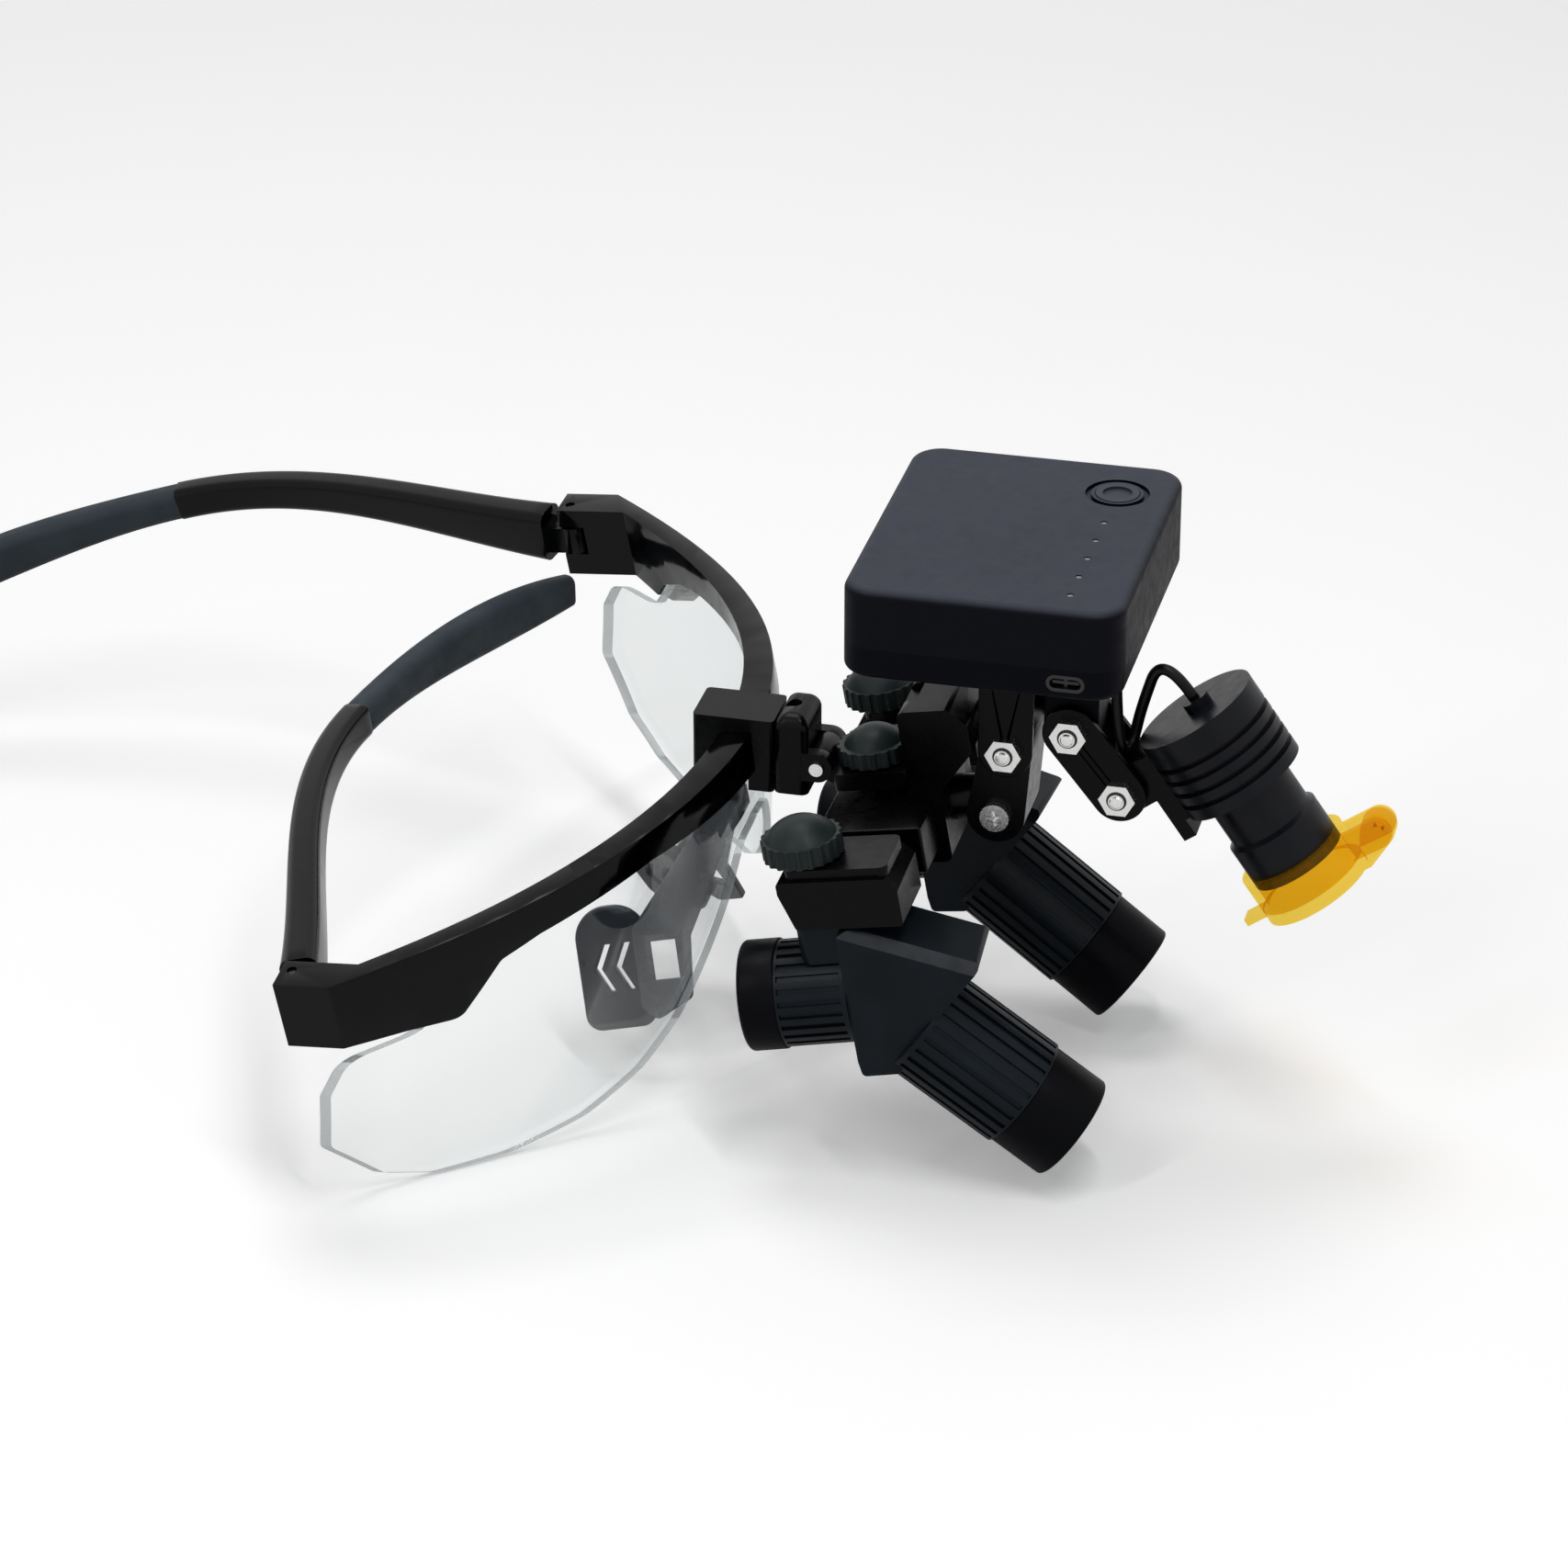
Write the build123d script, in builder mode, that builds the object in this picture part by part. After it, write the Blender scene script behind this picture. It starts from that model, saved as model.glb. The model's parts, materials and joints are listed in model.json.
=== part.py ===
from build123d import *
from math import asin, cos, radians, sin, sqrt, tan
import os

# Prismatic dental loupes with a battery headlight, standing as they are put down on a table.
# Millimetres. X is across the face (the wearer's left is +X), -Y is forward, +Z is up.
# The glasses, the loupe carrier, the oculars and the lamp are each drawn square to their own
# frame and then set at the angle at which they rest.

# Placing frames
GLASSES_AT = (4.6, 104.6, 45.3)
GLASSES_TURN = (-7.8, -8.5, -4.8)
CARRIER_AT = (0, 25.6, 30.7)
CARRIER_PITCH = 10.0

# Glasses: brow bar, lens, nose piece
BROW_HALF = 69.3
BROW_DEPTH = 55.5
WRAP_HALF = 74.9
BROW_WALL = 5.0
BROW_SIDE_WALL = 3.3
BROW_END_WALL = 5.8
BROW_END_BACK = 1.2
BROW_END_HALF_HEIGHT = 5.6
BROW_TOP_CENTRE = 9.0
BROW_TOP_SIDE = 7.9
BROW_TOP_OUTER = 6.5
BROW_LOW_CENTRE = 2.4
LOBE_LOW = -7.9
LOBE_X = 60.0
LENS_THICK = 1.8
LENS_TILT = 7.0
LENS_LOW = -39.4
LENS_SET_BACK = 1.5
LENS_HALF = 65.2
GROOVE_PLAY = 0.08
NOSE_BLOCK_X = 9.0
NOSE_BLOCK_Y = -50.8
NOSE_BLOCK_Z = -5.2
NOSE_ARM_R = 1.2
PAD_LONG = 20.0
PAD_WIDE = 11.5
PAD_THICK = 2.4
PAD_X = 12.0
PAD_Y = -28.0
PAD_Z = -31.5

# Temples
HINGE_X = 65.6
HINGE_Y = -0.6
HINGE_PIN_R = 0.8
HINGE_LUG_R = 2.5
HINGE_LUG_HALF = 2.4
HINGE_PLAY = 0.25
RUNNING_PLAY = 0.04
TEMPLE_START = 4.6
TEMPLE_SHELL = 77.0
TEMPLE_LENGTH = 132.0
TEMPLE_WIDE = 6.0
TEMPLE_HIGH = 9.4
TEMPLE_WAIST = 6.0
TIP_HIGH = 8.2
NEAR_FOLD = 82.0

# Clamp, knuckle and flip hinge
BLOCK_HALF_X = 4.9
BLOCK_BACK = 60.6
BLOCK_FRONT = 47.6
BLOCK_LOW = 50.3
BLOCK_TOP = 62.6
BLOCK_PLAY = 0.08
STUD_R = 2.4
STUD_Z = 57.0
STUD_FRONT = 43.4
KNUCKLE_BACK = 47.45
KNUCKLE_FRONT = 42.0
KNUCKLE_HALF_X = 5.4
KNUCKLE_LOW = 50.6
KNUCKLE_TOP = 64.0
KNUCKLE_ROUND = 2.4
SET_SCREW_R = 1.3
FLIP_Y = 40.5
FLIP_Z = 55.6
FLIP_R = 1.1
EAR_R = 2.4
TONGUE_HALF = 3.0
FORK_PLAY = 0.15

# Height slide and central knob, in the carrier's frame
ARM_HALF_X = 6.2
ARM_LOW = 23.4
ARM_TOP = 26.2
TOWER_HALF_X = 7.6
TOWER_BACK = -4.6
TOWER_TOP = 37.0
TOWER_LOW = 11.0
RAIL_HALF = 3.0
RAIL_DEPTH = 2.2
SLIDE_PLAY = 0.15
KNOB_Y = 2.0
KNOB_R = 5.8
KNOB_HIGH = 2.6
KNOB_DOME_R = 4.7
SPINDLE_R = 1.5

# Pupil-distance bar and carriages, in the carrier's frame
OCULAR_X = 27.6
BAR_HALF_X = 16.8
BAR_BACK = 8.6
BAR_FRONT = -8.0
BAR_LOW = 13.8
BAR_TOP = 21.6
GUIDE_HALF_X = 29.6
GUIDE_BACK = 2.6
GUIDE_FRONT = -3.4
GUIDE_LOW = 15.4
GUIDE_TOP = 19.6
CARRIAGE_HALF_X = 6.4
CARRIAGE_BACK = 11.0
CARRIAGE_FRONT = -8.0
CARRIAGE_LOW = 13.6
CARRIAGE_TOP = 21.7
CARRIAGE_SLOPE = 2.0
CARRIAGE_END_WALL = 1.2
TIER_HIGH = 1.6
PD_KNOB_Y = 7.6
PD_KNOB_R = 6.3
PD_KNOB_LOW = 23.6
PD_KNOB_SKIRT = 3.2
PD_KNOB_DOME = 3.0

# Oculars, each about its own bend point
CONVERGENCE = 4.4
DEFLECTION = 46.0
POST_Y = 5.6
POST_PIN_R = 1.8
EYE_RING_R = 8.65
EYE_RING_LONG = 5.9
EYE_REAR = 20.5
EYE_BARREL_R = 8.35
EYE_BORE_R = 6.6
HOUSING_BACK = 3.4
HOUSING_HALF_X = 7.6
HOUSING_FRONT = 8.4
HOUSING_BEVEL = 1.6
OBJ_BARREL_R = 9.15
OBJ_BARREL_END = 28.2
BEZEL_R = 8.75
BEZEL_LONG = 9.8
OBJ_BORE_R = 6.6
FILTER_SEAT_R = 7.2
FILTER_SEAT_DEEP = 2.4
RIBS = 26
RIB_DEEP = 0.5
RIB_GAP = 0.9
LENS_WALL = 2.2

# Battery box and its tilt bracket
BOX_X = 55.0
BOX_Y = 43.0
BOX_HIGH = 14.5
BOX_TOP = 97.8
BOX_MID_Y = 10.6
BOX_CORNER = 5.0
BOX_WALL = 1.6
BOX_SPLIT = 5.0
BUTTON_X = 16.2
BUTTON_Y = -2.0
BUTTON_RING_R = 5.0
BUTTON_R = 3.4
BUTTON_PROUD = 0.1
PORT_Y = -2.7
PORT_Z = 86.0
PORT_WIDE = 6.0
PORT_HIGH = 2.8
LIGHT_X = 5.1
LIGHT_STEP = 6.6
LIGHT_R = 0.55
TILT_Y = 10.3
TILT_Z = 63.0
PLATE_IN = 6.0
PLATE_THICK = 1.3
PLATE_HALF_Y = 4.3
BOLT_R = 1.25
NUT_ACROSS = 5.0
NUT_HIGH = 1.6

# Lamp link
LINK_Y = 0.6
LINK_Z = 66.4
LINK_LONG = 12.6
LINK_DOWN = 51.0
LINK_IN = 4.2
LUG_HALF = 4.0
LINK_R = 4.3

# Lamp, along its own axis from the back face
LAMP_Y = -17.8
LAMP_Z = 70.3
LAMP_PITCH = 54.7
LAMP_R = 10.0
LAMP_BODY = 14.0
LAMP_BARREL_R = 6.9
LAMP_HEAD_R = 7.7
LAMP_HEAD_FROM = 21.5
LAMP_END = 29.5
MOUNT_FROM = 2.2
MOUNT_END = 17.0
MOUNT_FOOT = 2.2
COLLAR_R = 9.0
COLLAR_FROM = 27.6
COLLAR_WALL = 1.2
LID_FROM = 33.4
LID_THICK = 2.0
LID_EAR = 14.2
LID_EAR_Z = 30.6
LID_EAR_R = 2.7
LID_PIN_R = 0.8
LID_KNUCKLE_HALF = 1.5
LID_TAB = 12.6

# Lead from the box to the lamp
LEAD_R = 0.9
BOOT_TOP = (-2.8, -6.0, 83.3)
BOOT_END = (-2.8, -6.0, 77.0)
LEAD_START = (-2.8, -6.0, 76.9)
LEAD_DOWN = [(-2.6, -6.2, 69.6)]
LEAD_TURN_BACK = (-2.5, -7.0, 62.6)
LEAD_TURN_FRONT = (1.7, -8.2, 62.6)
LEAD_UP = [(1.5, -9.2, 68.5)]
LEAD_RISE = 9.0
GLAND_REACH = 1.0
BOOT_R = 1.35
GLAND_HIGH = 1.6

GLASSES = Location(GLASSES_AT, GLASSES_TURN)
CARRIER = Location(CARRIER_AT, (-CARRIER_PITCH, 0, 0))
LEVEL = Location((0, 0, 0))

pieces = []


def keep(part, name, at=LEVEL):
    """Set a finished piece at its place and keep it for export."""
    placed = part.moved(at)
    placed.label = name
    pieces.append(placed)


def brow_curve(x, depth, half):
    """The wrap of the brow seen from above."""
    return -depth * (1 - (x / half) ** 2)


def curve_points(depth, half, end, count=9):
    """Points of the wrap from one end to the other."""
    return [(end * i / (count // 2), brow_curve(end * i / (count // 2), depth, half))
            for i in range(-(count // 2), count // 2 + 1)]


def band(front_depth, front_half, front_end, back_depth, back_half, back_end):
    """Plan of a wrapped bar: the outer curve, the inner curve and two square ends."""
    front = curve_points(front_depth, front_half, front_end)
    back = curve_points(back_depth, back_half, back_end)
    back_y = BROW_END_BACK
    with BuildLine() as edge:
        Spline(*front)
        Spline(*back)
        Polyline(front[0], (front[0][0], back_y), (back[0][0], back_y), back[0])
        Polyline(front[-1], (front[-1][0], back_y), (back[-1][0], back_y), back[-1])
    return edge


def lens_solid(play):
    """The one-piece lens; with play it is the groove that the lens sits in."""
    depth = BROW_DEPTH - LENS_SET_BACK
    half = WRAP_HALF - LENS_SET_BACK - 0.6
    thick = LENS_THICK
    tilt = Plane((0, 0, BROW_LOW_CENTRE), x_dir=(1, 0, 0),
                 z_dir=(0, -sin(radians(LENS_TILT)), cos(radians(LENS_TILT))))
    with BuildPart() as sheet:
        with BuildSketch(tilt):
            with BuildLine():
                front = curve_points(depth + play, half + play, LENS_HALF + 2)
                back = curve_points(depth - thick - play, half - thick - play, LENS_HALF + 2)
                Spline(*front)
                Spline(*back)
                Line(front[0], back[0])
                Line(front[-1], back[-1])
            make_face()
        extrude(amount=9)
        with BuildSketch(tilt):
            with BuildLine():
                Spline(*front)
                Spline(*back)
                Line(front[0], back[0])
                Line(front[-1], back[-1])
            make_face()
        extrude(amount=-50)
        with BuildSketch(Plane.XZ):
            with BuildLine():
                outline = FilletPolyline(
                    (0, BROW_LOW_CENTRE + 3 + play), (30, BROW_LOW_CENTRE + 3.6 + play), (48, 2 + play),
                    (57, -4), (60, -9), (LENS_HALF - 1.2, -13.5), (LENS_HALF, -18), (LENS_HALF - 1, -28),
                    (58, LENS_LOW + 2), (50, LENS_LOW), (41, LENS_LOW), (32, LENS_LOW + 4.2),
                    (20, LENS_LOW + 19), (11, -9.5), (0, -7.5), radius=2.4)
                mirror(outline, about=Plane.YZ)
            make_face()
        extrude(amount=90, both=True, mode=Mode.INTERSECT)
    return sheet.part


def brow_blank(play):
    """The brow bar without its groove and hinge cuts; with play it is the channel of the clamp."""
    with BuildPart() as blank:
        with BuildSketch(Plane.XY.offset(-15)):
            add(band(BROW_DEPTH + play, WRAP_HALF, BROW_HALF, BROW_DEPTH - BROW_WALL - play,
                     WRAP_HALF - BROW_SIDE_WALL, BROW_HALF - BROW_END_WALL).line)
            make_face()
        extrude(amount=30)
        with BuildSketch(Plane.XZ):
            with BuildLine():
                top = Spline((0, BROW_TOP_CENTRE + play), (30, BROW_TOP_SIDE + play), (52, BROW_TOP_OUTER),
                             (BROW_HALF + 2, BROW_END_HALF_HEIGHT), tangents=((1, 0), (1, -0.05)))
                low = FilletPolyline((0, BROW_LOW_CENTRE - play), (30, BROW_LOW_CENTRE + 0.6), (47, 0.8),
                                     (52, -0.7), (LOBE_X - 2.4, LOBE_LOW), (LOBE_X + 3, LOBE_LOW + 1.2),
                                     (BROW_HALF + 2, -BROW_END_HALF_HEIGHT), radius=1.6)
                Line(top @ 1, low @ 1)
                mirror(top, about=Plane.YZ)
                mirror(low, about=Plane.YZ)
                Line((-(top @ 1).X, (top @ 1).Y), (-(low @ 1).X, (low @ 1).Y))
            make_face()
        extrude(amount=90, both=True, mode=Mode.INTERSECT)
    return blank.part


# Brow frame
with BuildPart() as brow_frame:
    add(brow_blank(0))
    add(lens_solid(GROOVE_PLAY), mode=Mode.SUBTRACT)
    for side in (-1, 1):
        with BuildSketch(Plane.XY.offset(-HINGE_LUG_HALF - HINGE_PLAY)):
            with Locations((side * HINGE_X, HINGE_Y)):
                Circle(HINGE_LUG_R + HINGE_PLAY)
            with Locations((side * (HINGE_X - 3), HINGE_Y + 3)):
                Rectangle(11, 6)
            with Locations((side * (HINGE_X - 4.5), HINGE_Y)):
                Rectangle(9, 2 * HINGE_LUG_R - 0.6 + 2 * HINGE_PLAY)
        extrude(amount=2 * (HINGE_LUG_HALF + HINGE_PLAY), mode=Mode.SUBTRACT)
        with BuildSketch(Plane.XY.offset(-BROW_END_HALF_HEIGHT + 1)):
            with Locations((side * HINGE_X, HINGE_Y)):
                Circle(HINGE_PIN_R)
        extrude(amount=20, mode=Mode.SUBTRACT)
keep(brow_frame.part, "brow_frame", GLASSES)
keep(lens_solid(0), "lens_shield", GLASSES)

with BuildPart() as hinge_screws:
    for side in (-1, 1):
        with BuildSketch(Plane.XY.offset(-BROW_END_HALF_HEIGHT + 1)):
            with Locations((side * HINGE_X, HINGE_Y)):
                Circle(HINGE_PIN_R - RUNNING_PLAY)
        extrude(amount=2 * BROW_END_HALF_HEIGHT - 1.4)
keep(hinge_screws.part, "hinge_screws", GLASSES)

# Temples, drawn open on the wearer's left and mirrored for the right
SPINE = [(TEMPLE_START, 0.6, 0.0), (25, 4.6, 0.9), (50, 9.4, 1.4), (TEMPLE_SHELL, 8.4, -0.4),
         (96, 3.2, -3.6), (114, -4.0, -7.6), (TEMPLE_LENGTH, -14.0, -12.4)]
SECTIONS = [(TEMPLE_WIDE, TEMPLE_HIGH), (TEMPLE_WIDE - 0.6, 7.6), (5.0, TEMPLE_WAIST + 0.2), (4.8, TEMPLE_WAIST),
            (5.0, 7.0), (4.8, TIP_HIGH), (3.4, 5.6)]
SEAM_INDEX = 3


def loft_along(first, last, corner):
    """Loft rounded sections through stations given as back, outward and up from the hinge pin."""
    points = [Vector(HINGE_X + out, HINGE_Y + back, up) for back, out, up in SPINE]
    with BuildPart() as bar:
        for index in range(first, last + 1):
            wide, high = SECTIONS[index]
            along = points[min(index + 1, len(points) - 1)] - points[max(index - 1, 0)]
            across = Vector(along.Y, -along.X, 0)
            with BuildSketch(Plane(points[index], x_dir=across, z_dir=along)):
                RectangleRounded(wide, high, corner * min(wide, high))
        loft()
    return bar.part


def temple_shell():
    with BuildPart() as shell:
        add(loft_along(0, SEAM_INDEX, 0.3))
        with BuildSketch(Plane.XY.offset(-HINGE_LUG_HALF)):
            with Locations((HINGE_X, HINGE_Y)):
                Circle(HINGE_LUG_R)
            with Locations((HINGE_X, HINGE_Y + (TEMPLE_START + 1) / 2)):
                Rectangle(2 * HINGE_LUG_R - 0.6, TEMPLE_START + 1)
        extrude(amount=2 * HINGE_LUG_HALF)
        with BuildSketch(Plane.XY.offset(-10)):
            with Locations((HINGE_X, HINGE_Y)):
                Circle(HINGE_PIN_R)
        extrude(amount=20, mode=Mode.SUBTRACT)
    return shell.part


def temple_tip():
    return loft_along(SEAM_INDEX, len(SPINE) - 1, 0.42)


LEFT_TEMPLE = GLASSES
FOLD = Location((-HINGE_X, HINGE_Y, 0)) * Location((0, 0, 0), (0, 0, -NEAR_FOLD)) * Location((HINGE_X, -HINGE_Y, 0))
RIGHT_TEMPLE = GLASSES * FOLD
for make, name in ((temple_shell, "temple"), (temple_tip, "temple_tip")):
    piece = make()
    keep(piece, name + "_left", LEFT_TEMPLE)
    keep(piece.mirror(Plane.YZ), name + "_right", RIGHT_TEMPLE)

# Nose piece
for side, name in ((1, "left"), (-1, "right")):
    pad_plane = Plane((side * PAD_X, PAD_Y, PAD_Z), x_dir=(side * 0.26, 0.94, 0.0),
                      z_dir=(side * 0.86, -0.24, 0.40))
    with BuildPart() as nose_pad:
        with BuildSketch(pad_plane):
            RectangleRounded(PAD_WIDE, PAD_LONG, 5.2)
        extrude(amount=PAD_THICK)
        fillet(nose_pad.edges().group_by(Axis.X)[0 if side > 0 else -1], 0.8)
    keep(nose_pad.part, "nose_pad_" + name, GLASSES)

with BuildPart() as nose_bracket:
    with BuildSketch(Plane((0, NOSE_BLOCK_Y, NOSE_BLOCK_Z), x_dir=(1, 0, 0), z_dir=(0, 1, 0))):
        RectangleRounded(NOSE_BLOCK_X, 5.4, 1.2)
    extrude(amount=3.0)
    for side in (-1, 1):
        with BuildLine() as arm:
            Spline((side * 2.0, NOSE_BLOCK_Y + 2.0, NOSE_BLOCK_Z), (side * 6.0, -45.0, -12.5),
                   (side * 11.5, -36.5, -20.5), (side * (PAD_X + 2.3), PAD_Y - 2.4, PAD_Z + 2.5))
        with BuildSketch(Plane(arm.line @ 0, z_dir=arm.line % 0)):
            Circle(NOSE_ARM_R)
        sweep(path=arm.line)
keep(nose_bracket.part, "nose_bracket", GLASSES)

# Clamp block over the bridge, with the stud that carries the loupes
with BuildPart() as clamp_block:
    with BuildSketch(Plane.XY.offset(BLOCK_LOW)):
        with Locations((0, (BLOCK_BACK + BLOCK_FRONT) / 2)):
            RectangleRounded(2 * BLOCK_HALF_X, BLOCK_BACK - BLOCK_FRONT, 0.8)
    extrude(amount=BLOCK_TOP - BLOCK_LOW)
    with BuildSketch(Plane((0, STUD_FRONT, STUD_Z), x_dir=(1, 0, 0), z_dir=(0, 1, 0))):
        Circle(STUD_R)
    extrude(amount=BLOCK_FRONT + 0.5 - STUD_FRONT)
    add(brow_blank(BLOCK_PLAY).moved(GLASSES), mode=Mode.SUBTRACT)
    add(lens_solid(GROOVE_PLAY).moved(GLASSES), mode=Mode.SUBTRACT)
    with BuildSketch(Plane.XY.offset(BLOCK_LOW)):
        with Locations((-2.6, BLOCK_BACK - 2.4), (2.6, BLOCK_BACK - 2.4)):
            Circle(1.0)
    extrude(amount=3, mode=Mode.SUBTRACT)
keep(clamp_block.part, "clamp_block")

with BuildPart() as clamp_screws:
    with BuildSketch(Plane.XY.offset(BLOCK_LOW)):
        with Locations((-2.6, BLOCK_BACK - 2.4), (2.6, BLOCK_BACK - 2.4)):
            Circle(1.0)
    extrude(amount=3)
    with BuildSketch(Plane.XY.offset(BLOCK_LOW - 0.9)):
        with Locations((-2.6, BLOCK_BACK - 2.4), (2.6, BLOCK_BACK - 2.4)):
            Circle(1.7)
            RegularPolygon(0.8, 6, mode=Mode.SUBTRACT)
    extrude(amount=0.9)
keep(clamp_screws.part, "clamp_screws")

# Knuckle: bored for the stud at the back, forked for the flip hinge at the front
STUD_MID = (KNUCKLE_BACK + STUD_FRONT) / 2
with BuildPart() as knuckle:
    with BuildSketch(Plane.XY.offset(KNUCKLE_LOW)):
        with Locations((0, (KNUCKLE_BACK + KNUCKLE_FRONT) / 2)):
            RectangleRounded(2 * KNUCKLE_HALF_X, KNUCKLE_BACK - KNUCKLE_FRONT, 1.2)
    extrude(amount=KNUCKLE_TOP - KNUCKLE_LOW)
    fillet(knuckle.edges().filter_by(Axis.X).group_by(Axis.Z)[-1], KNUCKLE_ROUND)
    with BuildSketch(Plane.YZ.offset(-KNUCKLE_HALF_X)):
        with Locations((FLIP_Y, FLIP_Z)):
            Circle(EAR_R)
        with Locations(((FLIP_Y + KNUCKLE_FRONT + 1) / 2, FLIP_Z)):
            Rectangle(KNUCKLE_FRONT + 1 - FLIP_Y, 2 * EAR_R)
    extrude(amount=2 * KNUCKLE_HALF_X)
    with BuildSketch(Plane.YZ.offset(-TONGUE_HALF - FORK_PLAY)):
        with Locations((FLIP_Y - 0.5, FLIP_Z)):
            Circle(EAR_R + 1.0)
    extrude(amount=2 * (TONGUE_HALF + FORK_PLAY), mode=Mode.SUBTRACT)
    with BuildSketch(Plane.YZ.offset(-KNUCKLE_HALF_X)):
        with Locations((FLIP_Y, FLIP_Z)):
            Circle(FLIP_R)
    extrude(amount=2 * KNUCKLE_HALF_X, mode=Mode.SUBTRACT)
    with BuildSketch(Plane((0, STUD_FRONT - 0.2, STUD_Z), x_dir=(1, 0, 0), z_dir=(0, 1, 0))):
        Circle(STUD_R + RUNNING_PLAY)
    extrude(amount=10, mode=Mode.SUBTRACT)
    with BuildSketch(Plane.XY.offset(STUD_Z)):
        with Locations((0, STUD_MID)):
            Circle(SET_SCREW_R)
    extrude(amount=10, mode=Mode.SUBTRACT)
keep(knuckle.part, "knuckle")

with BuildPart() as set_screw:
    with BuildSketch(Plane.XY.offset(STUD_Z + STUD_R + RUNNING_PLAY + 0.02)):
        with Locations((0, STUD_MID)):
            Circle(SET_SCREW_R)
    extrude(amount=2.4)
    with BuildSketch(Plane.XY.offset(STUD_Z + STUD_R + 1.2)):
        with Locations((0, STUD_MID)):
            RegularPolygon(0.7, 6)
    extrude(amount=5, mode=Mode.SUBTRACT)
keep(set_screw.part, "set_screw")

with BuildPart() as flip_pin:
    with BuildSketch(Plane.YZ.offset(-KNUCKLE_HALF_X - 0.6)):
        with Locations((FLIP_Y, FLIP_Z)):
            Circle(FLIP_R)
    extrude(amount=2 * KNUCKLE_HALF_X + 1.2)
keep(flip_pin.part, "flip_pin")

# Hinge arm: tongue, arm plate and the rail that the height slide runs on
carrier_tilt = radians(CARRIER_PITCH)
FLIP_LOCAL_Y = (FLIP_Y - CARRIER_AT[1]) * cos(carrier_tilt) - (FLIP_Z - CARRIER_AT[2]) * sin(carrier_tilt)
FLIP_LOCAL_Z = (FLIP_Y - CARRIER_AT[1]) * sin(carrier_tilt) + (FLIP_Z - CARRIER_AT[2]) * cos(carrier_tilt)
ARM_BACK = FLIP_LOCAL_Y - EAR_R - 0.2
RAIL_TOP = TOWER_TOP - 1
with BuildPart() as hinge_arm:
    with BuildSketch(Plane.YZ.offset(-TONGUE_HALF)):
        with Locations((FLIP_LOCAL_Y, FLIP_LOCAL_Z)):
            Circle(EAR_R)
        with Locations((ARM_BACK + 0.7, (ARM_LOW + ARM_TOP) / 2)):
            Rectangle(1, ARM_TOP - ARM_LOW)
        make_hull()
    extrude(amount=2 * TONGUE_HALF)
    with BuildSketch(Plane.XY.offset(ARM_LOW)):
        with Locations((0, (ARM_BACK + TOWER_BACK + SLIDE_PLAY) / 2)):
            RectangleRounded(2 * ARM_HALF_X, ARM_BACK - TOWER_BACK - SLIDE_PLAY, 0.8)
        with Locations((0, TOWER_BACK)):
            Rectangle(2 * RAIL_HALF, 2)
        with Locations((0, ARM_BACK)):
            Rectangle(2 * TONGUE_HALF, 2)
    extrude(amount=ARM_TOP - ARM_LOW)
    with BuildSketch(Plane.XY.offset(ARM_LOW - 4)):
        with Locations((0, TOWER_BACK - RAIL_DEPTH / 2)):
            Rectangle(2 * RAIL_HALF, RAIL_DEPTH)
    extrude(amount=RAIL_TOP - ARM_LOW + 4)
    with BuildSketch(Plane.YZ.offset(-10)):
        with Locations((FLIP_LOCAL_Y, FLIP_LOCAL_Z)):
            Circle(FLIP_R + RUNNING_PLAY)
    extrude(amount=20, mode=Mode.SUBTRACT)
    with BuildSketch(Plane.XY.offset(ARM_LOW - 1)):
        with Locations((0, KNOB_Y)):
            Circle(SPINDLE_R + RUNNING_PLAY)
    extrude(amount=10, mode=Mode.SUBTRACT)
keep(hinge_arm.part, "hinge_arm", CARRIER)


def knob(radius, low, skirt, dome, dome_r, scallops, spindle_low, y):
    """A turned knob with finger scallops round its skirt, a domed cap and a spindle."""
    with BuildPart() as turned:
        with BuildSketch(Plane.XY.offset(low)):
            with Locations((0, y)):
                Circle(radius)
                with PolarLocations(radius + 0.45, scallops):
                    Circle(0.8, mode=Mode.SUBTRACT)
        extrude(amount=skirt)
        with BuildSketch(Plane.XY.offset(spindle_low)):
            with Locations((0, y)):
                Circle(SPINDLE_R)
        extrude(amount=low - spindle_low)
        ball = (dome_r ** 2 + dome ** 2) / (2 * dome)
        ball_z = low + skirt + dome - ball
        half_turn = asin(dome_r / ball) / 2
        with BuildSketch(Plane.XZ.offset(-y)):
            with BuildLine():
                crown = ThreePointArc((dome_r, low + skirt), (ball * sin(half_turn), ball_z + ball * cos(half_turn)),
                                      (0, low + skirt + dome))
                Polyline(crown @ 1, (0, low + skirt), crown @ 0)
            make_face()
        revolve(axis=Axis((0, y, 0), (0, 0, 1)))
    return turned.part


keep(knob(KNOB_R, ARM_TOP + 0.3, KNOB_HIGH, 2.6, KNOB_DOME_R, 18, BAR_LOW + 2, KNOB_Y), "height_knob", CARRIER)

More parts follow.
